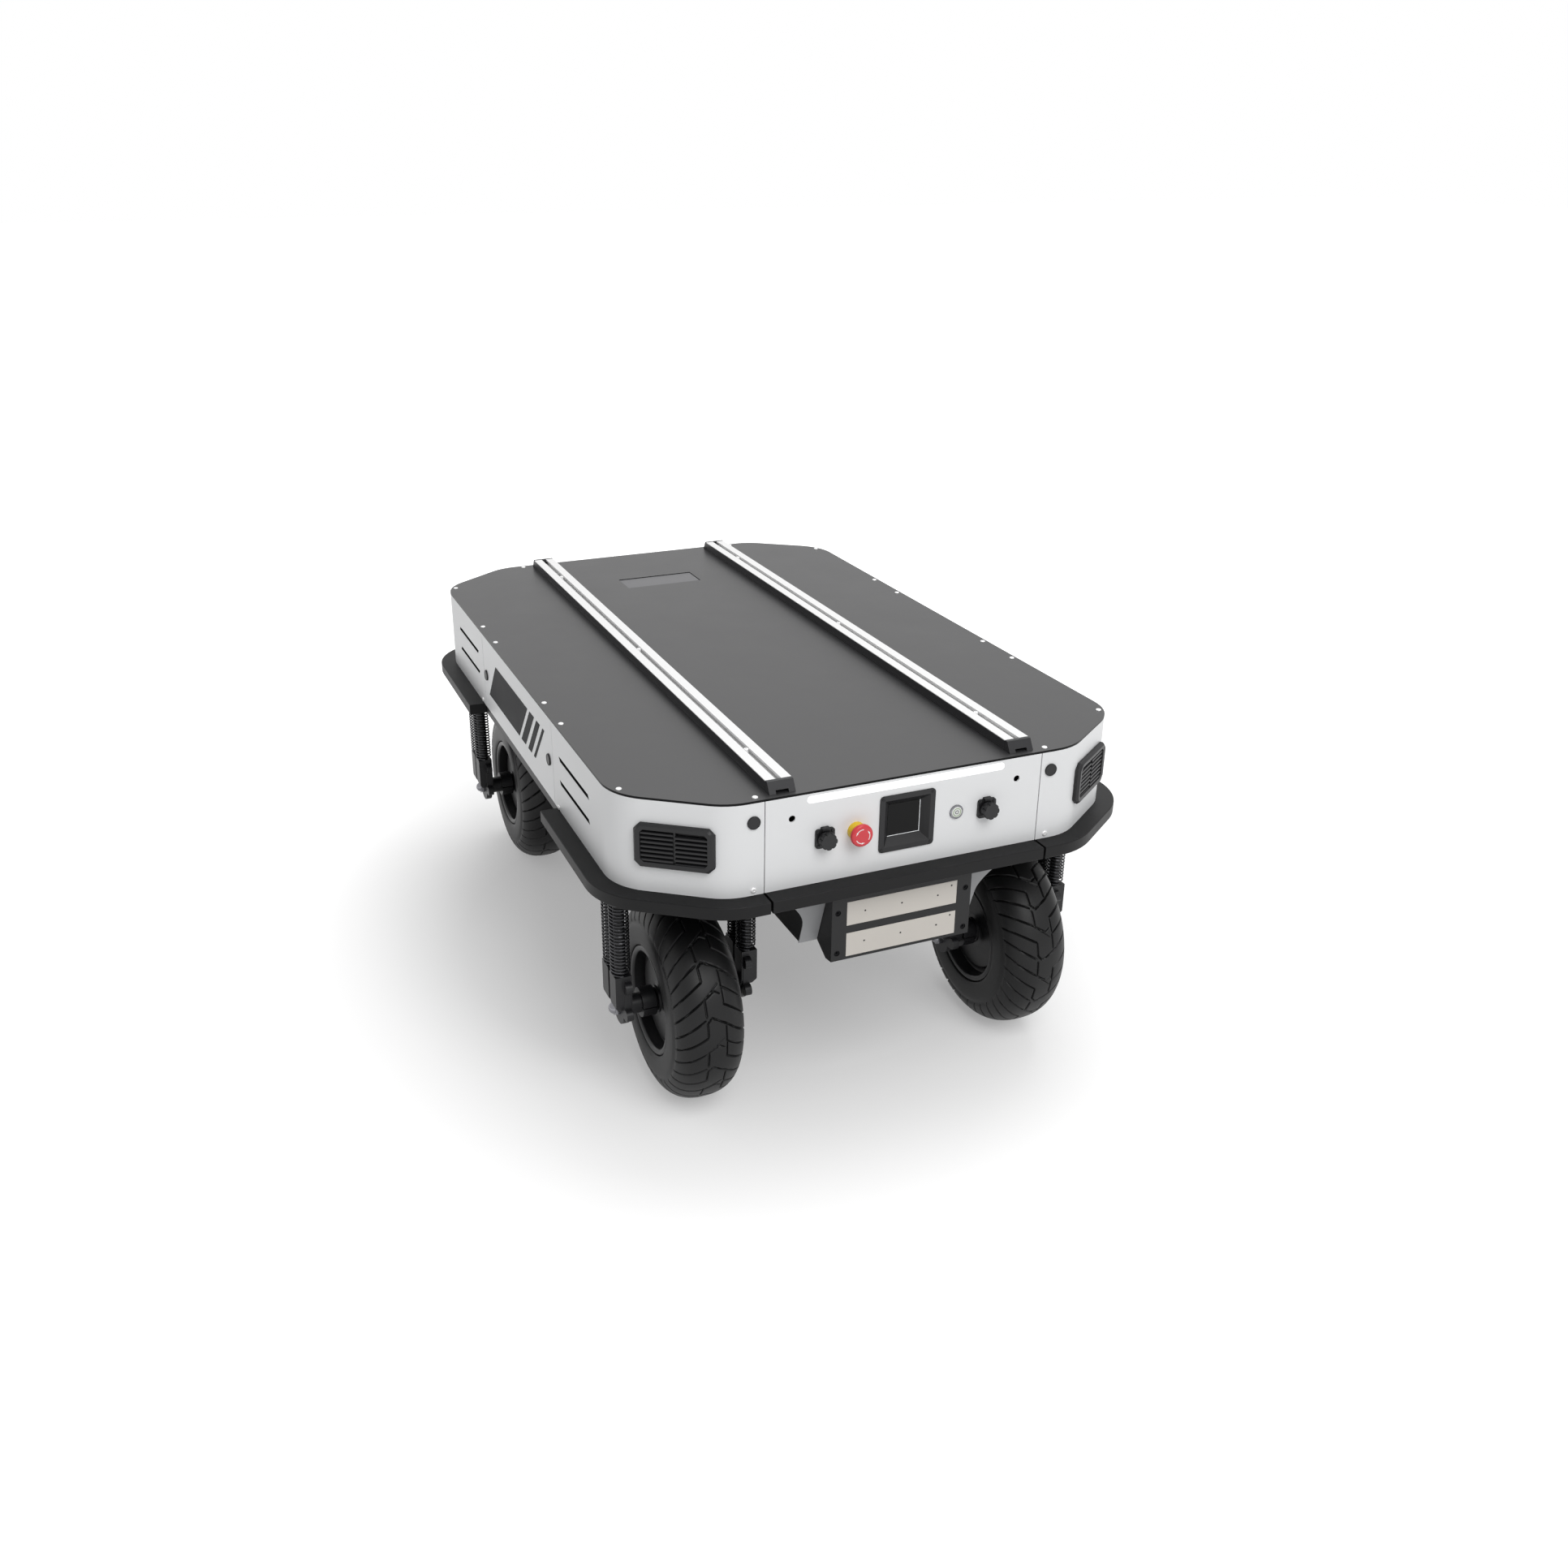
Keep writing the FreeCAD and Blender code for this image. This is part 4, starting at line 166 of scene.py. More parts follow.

# %% [markdown]
# Faces of the deck that do not look up, its edge and its bevels, get a near-black colour and less specular
# than the top: painted shade, which stands for the top catching the light while the edge stays dark. It
# reads as a thin line round the deck. The paint tells the two apart by the direction that a face looks in,
# so no second material is needed.

# %% Painted shade on the deck's edge
DECK_FLAT = {"From Min": 0.93, "From Max": 0.97}
# The dark tone of the deck's sideways faces is painted shade.
DECK_EDGE_SHADE = tone(16, 16, 17)
DECK_SHINE = {"To Min": 0.08, "To Max": 0.45}
deck_tree = deck_grey.node_tree
deck_surface = deck_tree.nodes["Principled BSDF"]
deck_colour = deck_surface.inputs["Base Color"].links[0].from_node
deck_facing = add_node(deck_tree, "ShaderNodeNewGeometry")
deck_height = add_node(deck_tree, "ShaderNodeSeparateXYZ")
deck_top = add_node(deck_tree, "ShaderNodeMapRange", DECK_FLAT)
deck_shine = add_node(deck_tree, "ShaderNodeMapRange", {**DECK_FLAT, **DECK_SHINE})
deck_shade_mix = add_node(deck_tree, "ShaderNodeMix", data_type="RGBA")
deck_shade_mix.inputs["A"].default_value = DECK_EDGE_SHADE
join(deck_tree, deck_facing, "True Normal", deck_height, "Vector")
for deck_level in (deck_top, deck_shine):
    join(deck_tree, deck_height, "Z", deck_level, "Value")
join(deck_tree, deck_top, "Result", deck_shade_mix, "Factor")
join(deck_tree, deck_colour, "Result", deck_shade_mix, "B")
join(deck_tree, deck_shade_mix, "Result", deck_surface, "Base Color")
join(deck_tree, deck_shine, "Result", deck_surface, "Specular IOR Level")

# %% [markdown]
# Rubber, foam and plastics. Tyre rubber is dull and a little uneven; the bumper is a firm foam with a
# skin; plastics have the fine spark grain of a mould.

# %% Rubber and plastics
tyre_black = finish("tyre_black", tone(15, 15, 16), 0.46, 0.0016, 0.00005, drift=0.1,
                    Specular_IOR_Level=0.3)
bumper_black = finish("bumper_black", tone(15, 15, 16), 0.5, 0.0014, 0.00005, Specular_IOR_Level=0.2)
plastic_black = finish("plastic_black", tone(21, 21, 23), 0.45, 0.0008, 0.00003, Specular_IOR_Level=0.35)
rail_black = finish("rail_black", tone(40, 40, 42), 0.45, 0.0009, 0.00004, Specular_IOR_Level=0.28)
window_grey = finish("window_grey", tone(96, 96, 98), 0.5, 0.0008, 0.00003)
fascia_beige = finish("fascia_beige", tone(205, 200, 193), 0.5, 0.0009, 0.00003, drift=0.02)
cap_face = finish("cap_face", tone(222, 224, 222), 0.4, 0.0008, 0.00002, drift=0.01)
stop_red = finish("stop_red", tone(206, 50, 60), 0.33, 0.0012, 0.00002, drift=0.03)
stop_yellow = finish("stop_yellow", tone(224, 188, 30), 0.36, 0.0012, 0.00002, drift=0.03)
mark_white = finish("mark_white", tone(240, 240, 240), 0.45, 0.001, 0.00001, drift=0.01)
mark_green = finish("mark_green", tone(120, 150, 84), 0.45, 0.001, 0.00001, drift=0.02)
mark_dark = finish("mark_dark", tone(30, 30, 32), 0.6, 0.0009, 0.00002, drift=0.03, Specular_IOR_Level=0.08)

# %% [markdown]
# Bare metal is coloured by what it reflects, so its roughness and grain matter most. The pale skin of the
# rails and the plating of the screws are nearly as matt as paint, so they are only a little metallic. The
# rails are pressed through a die, which leaves streaks along X: the mapping stretches the grain in that
# direction.

# %% Metals
rail_aluminium = finish("rail_aluminium", tone(231, 231, 231), 0.34, 0.0008, 0.00003, drift=0.01,
                        stretch=(0.04, 1, 1), Metallic=0.1)
housing_alloy = finish("housing_alloy", tone(150, 152, 155), 0.5, 0.0012, 0.00006, Metallic=0.8)
screw_steel = finish("screw_steel", tone(250, 250, 250), 0.3, 0.0012, 0.00001, Metallic=0.25)
dark_steel = finish("dark_steel", tone(30, 30, 32), 0.35, 0.0012, 0.00002, Metallic=0.5)
chrome = finish("chrome", tone(130, 130, 134), 0.16, 0.002, 0.00001, drift=0.01, Metallic=1.0)
ring_steel = finish("ring_steel", tone(208, 210, 212), 0.22, 0.0015, 0.00001, drift=0.01, Metallic=0.8)

# %% [markdown]
# The display is dark, smooth glass, and the light strip is a frosted diffuser, lit from behind just
# enough to stay whiter than the panel round it.

# %% Glass and light
screen_glass = finish("screen_glass", tone(8, 8, 9), 0.14, 0.004, 0.000005, Specular_IOR_Level=0.12)
light_white = finish("light_white", tone(250, 250, 250), 0.4, 0.001, 0.00002, drift=0.0,
                     Emission_Color=(1, 1, 1, 1), Emission_Strength=0.55)
print("finishes:", len(bpy.data.materials))

# %% [markdown]
# ## Making pieces
# A finished piece sits at the origin with its place in its mesh. It rides on the body that carries it, and
# the CAD nodes that it stands for are hidden.

# %% Helpers for pieces
SHARP_ANGLE = 32


def settle(piece, body, slot, *nodes):
    """Puts a finished piece on its body and hides the CAD nodes that it replaces. The slot is not used."""
    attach(piece, body)
    if nodes:
        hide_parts(*nodes)
    print(piece.name, len(piece.data.polygons), "faces on", body)
    return piece


def new_piece(name, mesh, material):
    """An object of a mesh with one material, in the scene."""
    mesh.materials.clear()
    mesh.materials.append(material)
    piece = bpy.data.objects.new(name, mesh)
    scene.collection.objects.link(piece)
    return piece


def mesh_from(name, points, faces):
    """A mesh from points and faces, shaded smooth apart from its sharp edges."""
    mesh = bpy.data.meshes.new(name)
    mesh.from_pydata([tuple(p) for p in points], [], faces)
    return smoothed(mesh)


def smoothed(mesh, sharp_angle=SHARP_ANGLE):
    """Shades a mesh smooth, apart from edges sharper than the angle in degrees."""
    mesh.polygons.foreach_set("use_smooth", [True] * len(mesh.polygons))
    mesh.set_sharp_from_angle(angle=math.radians(sharp_angle))
    mesh.validate()
    mesh.update()
    return mesh


def apply_modifiers(piece):
    """Turns the piece's evaluated shape into a plain mesh and removes its modifiers."""
    graph = bpy.context.evaluated_depsgraph_get()
    mesh = bpy.data.meshes.new_from_object(piece.evaluated_get(graph), depsgraph=graph)
    piece.modifiers.clear()
    piece.data = mesh
    return piece


# %% [markdown]
# ## Machined and moulded parts
# A CAD solid has knife edges, and a knife edge never catches the light. Real castings, folded sheets and
# mouldings have a small round on each edge. So each hard part is copied from its CAD node, its loose
# triangles are merged into clean faces, and a Bevel modifier rounds its edges.

# %% Rounded copies of the CAD nodes
MERGE_DISTANCE = 0.00001
FLAT_ANGLE = math.radians(1)
ROUNDED_ANGLE = math.radians(35)
EDGE_SEGMENTS = 2


def merged_copy(node):
    """A merged copy of a CAD node's mesh, with flat areas as single faces."""
    shape = bmesh.new()
    shape.from_mesh(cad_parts[node].data)
    bmesh.ops.remove_doubles(shape, verts=shape.verts, dist=MERGE_DISTANCE)
    bmesh.ops.dissolve_limit(shape, angle_limit=FLAT_ANGLE, verts=shape.verts, edges=shape.edges)
    mesh = bpy.data.meshes.new(node + "_rounded")
    shape.to_mesh(mesh)
    shape.free()
    return mesh


def round_edges(piece, edge, segments=EDGE_SEGMENTS):
    """Rounds the sharp edges by a width in metres, and keeps the flat faces evenly shaded."""
    if edge:
        bevel = piece.modifiers.new("edge", "BEVEL")
        bevel.width = edge
        bevel.segments = segments
        bevel.limit_method = "ANGLE"
        bevel.angle_limit = ROUNDED_ANGLE
        apply_modifiers(piece)
    smoothed(piece.data)
    even = piece.modifiers.new("even", "WEIGHTED_NORMAL")
    even.keep_sharp = True
    apply_modifiers(piece)


def rounded_part(node, body, slot, material, edge):
    """A copy of a CAD node with its sharp edges rounded, in its place."""
    piece = new_piece(node + "_finished", merged_copy(node), material)
    round_edges(piece, edge)
    return settle(piece, body, slot, node)


# %% [markdown]
# These are the parts of the body: each CAD node with its slot, its finish and the width of its round in
# metres. Folded sheet gets the least, and the thick plastic and the battery box get the most.

# %% Parts of the body
ROUNDED_PARTS = [
    ("deck_plate", "deck_paint", deck_grey, 0.0006),
    ("deck_window", "window_plastic", window_grey, 0.0004),
    ("end_panels", "cover_paint", cover_white, 0.0005),
    ("side_panels", "cover_paint", cover_white, 0.0005),
    ("corner_covers", "cover_paint", cover_white, 0.0005),
    ("end_bumpers", "bumper_rubber", bumper_black, 0.0005),
    ("corner_bumpers", "bumper_rubber", bumper_black, 0.0005),
    ("light_strips", "light_diffuser", light_white, 0.0004),
    ("display_bezel", "black_plastic", plastic_black, 0.0006),
    ("battery_box", "frame_paint", frame_black, 0.0008),
    # The underbody tray takes the black frame paint as painted shade: its sides lie in deep shade under the
    # body.
    ("underbody_tray", "frame_paint", frame_black, 0.0006),
    ("tray_end_sheets", "tray_paint", tray_grey, 0.0006),
    ("base_plate", "frame_paint", frame_black, 0.0005),
    ("frame_skirt", "frame_paint", frame_black, 0.0004),
    ("top_frame", "frame_paint", frame_black, 0.0004),
    ("deck_beams", "frame_paint", frame_black, 0.0005),
    ("frame_posts", "frame_paint", frame_black, 0.0005),
]
for node, slot, material, edge in ROUNDED_PARTS:
    rounded_part(node, "chassis", slot, material, edge)

# %% [markdown]
# Parts that hide inside the body keep their CAD shape and only get a finish.

# %% Finishes of the nodes that keep their shape
KEPT_NODES = {
    "display_screen": screen_glass,
    "battery_packs": plastic_black,
    "electronics_housings": housing_alloy,
    "steering_gearboxes": housing_alloy,
    "steering_bearings": ring_steel,
    "estop_stem": plastic_black,
}
for node, material in KEPT_NODES.items():
    kept_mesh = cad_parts[node].data
    kept_mesh.materials.clear()
    kept_mesh.materials.append(material)
print("kept:", len(KEPT_NODES))

# %% [markdown]
# Each wheel hangs in a fork: a crown with four guide rods, two castings of legs that slide on them, and
# an axle. They are machined and cast parts, so they are rounded copies too, with a wider round on the
# castings. Each one rides on its own body, so that it turns or slides with its joint.

# %% Forks, legs and axles
MACHINED_EDGE, CAST_EDGE = 0.0008, 0.0012
for corner in CORNERS:
    carrier = "axle_carrier_" + corner
    rounded_part("fork_" + corner, "fork_" + corner, "strut_paint", strut_black, MACHINED_EDGE)
    rounded_part("lower_legs_" + corner, carrier, "strut_paint", strut_black, CAST_EDGE)
    rounded_part("axle_" + corner, carrier, "axle_chrome", chrome, MACHINED_EDGE)

# %% [markdown]
# ## Shapes for the smaller parts
# Knobs, rings, brackets and marks are built from a few plain shapes: a spun profile, a pushed outline and
# a box. Each one is a list of points and a list of faces, in a place of its own.

# %% Spun, pushed and box shapes
X_AXIS, Y_AXIS, Z_AXIS = Vector((1, 0, 0)), Vector((0, 1, 0)), Vector((0, 0, 1))


def side_axes(axis):
    """Two directions square to the axis and to each other."""
    first = Y_AXIS if abs(axis.x) > 0.5 else X_AXIS
    return first, axis.cross(first)


def spun(profile, centre, axis, segments=48):
    """A closed profile of (distance along the axis, radius) points in mm, spun about the axis."""
    first, second = side_axes(axis)
    points, rings = [], []
    for along, radius in profile:
        middle = centre + axis * along * MM
        if radius == 0:
            rings.append([len(points)] * segments)
            points.append(middle)
            continue
        rings.append(list(range(len(points), len(points) + segments)))
        for index in range(segments):
            angle = 2 * math.pi * index / segments
            points.append(middle + (first * math.cos(angle) + second * math.sin(angle)) * radius * MM)
    faces = []
    for index, ring in enumerate(rings):
        after = rings[(index + 1) % len(rings)]
        if ring[0] == ring[1] and after[0] == after[1]:
            continue
        for side in range(segments):
            corner = (ring[side], ring[(side + 1) % segments], after[(side + 1) % segments], after[side])
            faces.append(tuple(dict.fromkeys(corner)))
    return points, faces


def pushed(outline, place, across, up, depth):
    """An outline of (across, up) points in mm, placed and pushed along the depth vector."""
    base = [place + across * a * MM + up * b * MM for a, b in outline]
    count = len(base)
    points = base + [point + depth for point in base]
    faces = [tuple(range(count)), tuple(range(2 * count - 1, count - 1, -1))]
    for index in range(count):
        after = (index + 1) % count
        faces.append((index, index + count, after + count, after))
    return points, faces


def block(low, high):
    """A box between two corners in mm."""
    size = [b - a for a, b in zip(low, high)]
    outline = [(0, 0), (size[0], 0), (size[0], size[1]), (0, size[1])]
    return pushed(outline, Vector(low) * MM, X_AXIS, Y_AXIS, Z_AXIS * size[2] * MM)


# %% [markdown]
# A piece joins such shapes in one mesh. Whatever way a shape was drawn or mirrored, its faces are turned
# outwards here, before its edges are rounded.

# %% Pieces from shapes
def moved_to_corner(shape, x_sign, y_sign):
    """A shape of the front left corner, mirrored into another corner."""
    points, faces = shape
    return [Vector((p.x * x_sign, p.y * y_sign, p.z)) for p in points], faces


def made_piece(name, material, shapes, edge, segments=EDGE_SEGMENTS):
    """One piece from closed shapes, its faces turned outwards and its edges rounded by edge mm."""
    form = bmesh.new()
    for points, faces in shapes:
        corners = [form.verts.new(point) for point in points]
        for face in faces:
            form.faces.new([corners[index] for index in face])
    bmesh.ops.recalc_face_normals(form, faces=form.faces)
    mesh = bpy.data.meshes.new(name)
    form.to_mesh(mesh)
    form.free()
    piece = new_piece(name, mesh, material)
    round_edges(piece, edge * MM, segments)
    return piece


# %% [markdown]
# ## Pieces made by Geometry Nodes
# Screws, springs, louvres and tread blocks repeat, so each kind is one small tree. The helper gives the
# piece its tree, sets the named inputs, and turns the result into a plain mesh, because the object has to
# end up as one mesh with no instances.

# %% Helpers for Geometry Nodes
def start_tree(name, sockets):
    """A Geometry Nodes tree with its named inputs, and the node that they come from."""
    tree = bpy.data.node_groups.new(name, "GeometryNodeTree")
    for label, kind in {"Geometry": "Geometry", **sockets, "Material": "Material"}.items():
        tree.interface.new_socket(name=label, in_out="INPUT", socket_type="NodeSocket" + kind)
    tree.interface.new_socket(name="Geometry", in_out="OUTPUT", socket_type="NodeSocketGeometry")
    return tree, add_node(tree, "NodeGroupInput")


def end_tree(tree, start, copies):
    """Ends a tree in Realize Instances and Set Material."""
    real = add_node(tree, "GeometryNodeRealizeInstances")
    paint = add_node(tree, "GeometryNodeSetMaterial")
    end = add_node(tree, "NodeGroupOutput")
    join(tree, copies, "Instances", real, "Geometry")
    join(tree, real, "Geometry", paint, "Geometry")
    join(tree, start, "Material", paint, "Material")
    join(tree, paint, "Geometry", end, "Geometry")


def made_by_nodes(name, tree, seed, material, values, sharp_angle=SHARP_ANGLE):
    """A piece that a tree makes from the seed mesh, as a plain mesh with its doubles merged."""
    piece = bpy.data.objects.new(name, seed)
    scene.collection.objects.link(piece)
    modifier = piece.modifiers.new("made", "NODES")
    modifier.node_group = tree
    for socket in tree.interface.items_tree:
        if socket.in_out == "INPUT" and socket.name in values:
            modifier[socket.identifier] = values[socket.name]
        elif socket.in_out == "INPUT" and socket.name == "Material":
            modifier[socket.identifier] = material
    apply_modifiers(piece)
    form = bmesh.new()
    form.from_mesh(piece.data)
    bmesh.ops.remove_doubles(form, verts=form.verts, dist=MERGE_DISTANCE)
    bmesh.ops.recalc_face_normals(form, faces=form.faces)
    form.to_mesh(piece.data)
    form.free()
    smoothed(piece.data, sharp_angle)
    return piece


# %% [markdown]
# ## Screws
# Every screw is a round head with a hexagon socket, in its own size and facing its own way. There are two
# kinds, a domed button head and a taller cap head, and each is one small mesh of unit size.

# %% Screw heads
HEAD_SIDES = 24
SOCKET_FLAT = 0.4


def screw_head(name, rings, socket_floor):
    """A unit head: rings of (radius, height), then a hexagon socket down to its floor."""
    points, loops = [], []
    for radius, height in rings:
        loops.append([(radius, height)] * HEAD_SIDES)
    hexagon = []
    for index in range(HEAD_SIDES):
        turn = (2 * math.pi * index / HEAD_SIDES) % (math.pi / 3) - math.pi / 6
        hexagon.append(SOCKET_FLAT / math.cos(turn))
    top = rings[-1][1]
    loops.append([(radius, top) for radius in hexagon])
    loops.append([(radius, socket_floor) for radius in hexagon])
    for loop in loops:
        for index, (radius, height) in enumerate(loop):
            angle = 2 * math.pi * index / HEAD_SIDES
            points.append((radius * math.cos(angle), radius * math.sin(angle), height))
    faces = [tuple(range(HEAD_SIDES - 1, -1, -1))]
    for level in range(len(loops) - 1):
        for index in range(HEAD_SIDES):
            after = (index + 1) % HEAD_SIDES
            low, high = level * HEAD_SIDES, (level + 1) * HEAD_SIDES
            faces.append((low + index, low + after, high + after, high + index))
    last = (len(loops) - 1) * HEAD_SIDES
    faces.append(tuple(range(last, last + HEAD_SIDES)))
    head = bpy.data.objects.new(name, mesh_from(name, points, faces))
    scene.collection.objects.link(head)
    return head


BUTTON_RINGS = [(1, 0), (1, 0.2), (0.96, 0.55), (0.86, 0.82), (0.7, 0.96), (0.56, 1.0)]
CAP_RINGS = [(1, 0), (1, 0.86), (0.95, 0.96), (0.86, 1.0), (0.6, 1.0)]
button_head = screw_head("button_head", BUTTON_RINGS, 0.72)
cap_head = screw_head("cap_head", CAP_RINGS, 0.45)
print("head:", len(button_head.data.polygons), "faces")

# %% [markdown]
# The tree puts a head on points that carry the direction they face, and scales it by its two inputs, so a
# change of size is one number.

# %% Tree that sets the screws
screw_tree, screw_start = start_tree("screws", {"Head": "Object", "Radius": "Float", "Height": "Float"})
facing = add_node(screw_tree, "GeometryNodeInputNamedAttribute", {"Name": "facing"},
                  data_type="FLOAT_VECTOR")
turn = add_node(screw_tree, "FunctionNodeAlignRotationToVector", axis="Z")
head_info = add_node(screw_tree, "GeometryNodeObjectInfo")
head_scale = add_node(screw_tree, "ShaderNodeCombineXYZ")
on_points = add_node(screw_tree, "GeometryNodeInstanceOnPoints")
join(screw_tree, facing, "Attribute", turn, "Vector")
join(screw_tree, screw_start, "Head", head_info, "Object")
for axis_name, size_name in (("X", "Radius"), ("Y", "Radius"), ("Z", "Height")):
    join(screw_tree, screw_start, size_name, head_scale, axis_name)
join(screw_tree, screw_start, "Geometry", on_points, "Points")
join(screw_tree, head_info, "Geometry", on_points, "Instance")
join(screw_tree, turn, "Rotation", on_points, "Rotation")
join(screw_tree, head_scale, "Vector", on_points, "Scale")
end_tree(screw_tree, screw_start, on_points)

# %% [markdown]
# A set of screws starts as a mesh of bare points, with the direction of each one as an attribute. Most
# sets are the same in all four corners of the robot, so only one corner is listed.

# %% Sets of screws
def screws(name, places, head, radius, height, material):
    """Screw heads at places in mm, each a (point, direction that it faces) pair."""
    seed = bpy.data.meshes.new(name + "_places")
    seed.from_pydata([tuple(Vector(place) * MM) for place, _ in places], [], [])
    directions = seed.attributes.new("facing", "FLOAT_VECTOR", "POINT")
    directions.data.foreach_set("vector", [value for _, direction in places for value in direction])
    values = {"Head": head, "Radius": radius * MM, "Height": height * MM}
    return made_by_nodes(name, screw_tree, seed, material, values)


def in_all_corners(places):
    """Places of the front left corner, mirrored into all four corners."""
    result = []
    for x_sign, y_sign in CORNERS.values():
        for (x, y, z), (dx, dy, dz) in places:
            result.append(((x * x_sign, y * y_sign, z), (dx * x_sign, dy * y_sign, dz)))
    return result


# %% [markdown]
# The deck and the corner covers are held by button-head screws. The places come from the frame's own
# screw pattern: sixteen on the deck's edge and one at each end of each corner cover.

# %% Deck and cover screws
DECK_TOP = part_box("deck_plate")[1].z / MM
FACE_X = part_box("end_panels")[1].x / MM
SIDE_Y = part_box("side_panels")[1].y / MM
COVER_SCREW_RADIUS, COVER_SCREW_HEIGHT = 5.0, 2.0
SCREW_PLACES = [
    ((600.0, 455.4, DECK_TOP), (0, 0, 1)),
    ((296.8, 463.5, DECK_TOP), (0, 0, 1)),
    ((185.9, 463.5, DECK_TOP), (0, 0, 1)),
    ((711.8, 267.0, DECK_TOP), (0, 0, 1)),
    ((FACE_X, 274.3, 491.0), (1, 0, 0)),
    ((295.0, SIDE_Y, 487.5), (0, 1, 0)),
]
cover_screws = screws("cover_screws", in_all_corners(SCREW_PLACES), button_head, COVER_SCREW_RADIUS,
                      COVER_SCREW_HEIGHT, screw_steel)
settle(cover_screws, "chassis", "screw_steel", "screws_and_bolts")

# %% [markdown]
# ## Payload rails
# Each rail is an aluminium bar with a T-slot, lying in a black plastic tray. Both keep one section over
# their whole length, as they leave the die, so a section is drawn once and pushed along X. The CAD model
# builds them from strips; one outline for each leaves no seam where the strips meet, apart from the thin
# shadow line that the real tray has just above the deck.

# %% Rails and their trays
RAIL_Y = 220.3
RAIL_SECTION = [(-15, 4), (15, 4), (15, 17), (22.9, 17), (22.9, 18.6), (5, 18.6), (5, 14.6), (10, 14.6),
                (10, 7.6), (-10, 7.6), (-10, 14.6), (-5, 14.6), (-5, 18.6), (-22.9, 18.6), (-22.9, 17),
                (-15, 17)]
TRAY_SECTION = [(-22.9, 0), (22.9, 0), (22.9, 3.6), (22.3, 3.8), (22.3, 4.2), (22.9, 4.4), (22.9, 17),
                (15.3, 17), (15.3, 4), (-15.3, 4), (-15.3, 17), (-22.9, 17), (-22.9, 4.4), (-22.3, 4.2),
                (-22.3, 3.8), (-22.9, 3.6)]
rail_low, rail_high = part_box("payload_rails")
for name, node, slot, material, section in (
        ("rail_bars", "payload_rails", "rail_aluminium", rail_aluminium, RAIL_SECTION),
        ("rail_trays", "rail_bases", "black_plastic", rail_black, TRAY_SECTION)):
    bars = []
    for y in (-RAIL_Y, RAIL_Y):
        place = Vector((rail_low.x, y * MM, DECK_TOP * MM))
        bars.append(pushed(section, place, Y_AXIS, Z_AXIS, X_AXIS * (rail_high.x - rail_low.x)))
    settle(made_piece(name, material, bars, edge=0.3), "chassis", slot, node)

# %% [markdown]
# A moulded cap closes each end of a rail. Its front view, with the notch at the foot, is pushed outwards
# and its front face is then leaned back, so that a load slides up and over it.

# %% Rail end caps
CAP_VIEW = [(-22.9, 0), (-11, 0), (-11, 5.5), (11, 5.5), (11, 0), (22.9, 0), (22.9, 18.6), (-22.9, 18.6)]
CAP_FOOT_DEPTH, CAP_TOP_DEPTH = 18.9, 7.4
cap_lean = (CAP_FOOT_DEPTH - CAP_TOP_DEPTH) / CAP_VIEW[-1][1]
cap_shapes = []
for x_sign in (1, -1):
    for y in (-RAIL_Y, RAIL_Y):
        place = Vector((rail_high.x * x_sign, y * MM, DECK_TOP * MM))
        depth = X_AXIS * x_sign * CAP_FOOT_DEPTH * MM
        cap_points, cap_faces = pushed(CAP_VIEW, place, Y_AXIS, Z_AXIS, depth)
        for cap_point in cap_points[len(CAP_VIEW):]:
            cap_point.x -= x_sign * cap_lean * (cap_point.z - place.z)
        cap_shapes.append((cap_points, cap_faces))
settle(made_piece("rail_caps", rail_black, cap_shapes, edge=0.5), "chassis", "black_plastic")

# %% [markdown]
# Three cap screws hold each rail. They stand on the floor of its slot.

# %% Rail screws
RAIL_SCREW_X = (-543.0, 10.0, 563.0)
RAIL_SCREW_RADIUS, RAIL_SCREW_HEIGHT = 4.2, 10.4
SLOT_FLOOR = 7.6
rail_places = [((x, y, DECK_TOP + SLOT_FLOOR), (0, 0, 1)) for x in RAIL_SCREW_X for y in (-RAIL_Y, RAIL_Y)]
settle(screws("rail_screws", rail_places, cap_head, RAIL_SCREW_RADIUS, RAIL_SCREW_HEIGHT, screw_steel),
       "chassis", "screw_steel")

# %% [markdown]
# ## Tyres
# The tyre's section is a rounded square, and its tread is a pattern that repeats twelve times round the
# wheel. One repeat is a fine grid of points. Each point is pushed inwards by the depth of the groove it
# lies in, which is found from its distance to the groove's centre line. The grid is sheared, so that its
# rows run along the slanting grooves and their walls stay straight. A tree then sets twelve copies round
# the axle.

# %% Section of the tyre
WHEEL_RADIUS = 185.6
TYRE_REPEATS = 12
REPEAT_LENGTH = 2 * math.pi * WHEEL_RADIUS / TYRE_REPEATS
HALF_WIDTH, SECTION_HEIGHT, SECTION_POWER = 65.5, 65.0, 2.44
SECTION_MIDDLE = WHEEL_RADIUS - SECTION_HEIGHT
SECTION_STEPS = 2000
BEAD_LINE = [(65.4, 116.0), (65.2, 110.0), (64.6, 105.0), (63.2, 102.0), (61.2, 100.6), (51.0, 100.1)]
BEAD_LINE += [(44.0, 100.0), (44.0, 95.0), (0.0, 95.0)]


def section_curve():
    """The half section from crown to widest point, with each point's distance from the crown along it."""
    angle = np.linspace(math.pi / 2, 0, SECTION_STEPS)
    across = HALF_WIDTH * np.clip(np.cos(angle), 0, 1) ** (2 / SECTION_POWER)
    radius = SECTION_MIDDLE + SECTION_HEIGHT * np.sin(angle) ** (2 / SECTION_POWER)
    steps = np.hypot(np.diff(across), np.diff(radius))
    return across, radius, np.concatenate([[0], np.cumsum(steps)])


curve_across, curve_radius, curve_length = section_curve()
print("tread curve", round(float(curve_length[-1]), 1), "mm from crown to side")

# %% [markdown]
# The grooves, as centre lines of (across, along) points in millimetres. Wide slanting grooves run in from
# both shoulders, steep walls beside the crown join them, and one of them ends in a fine slit.

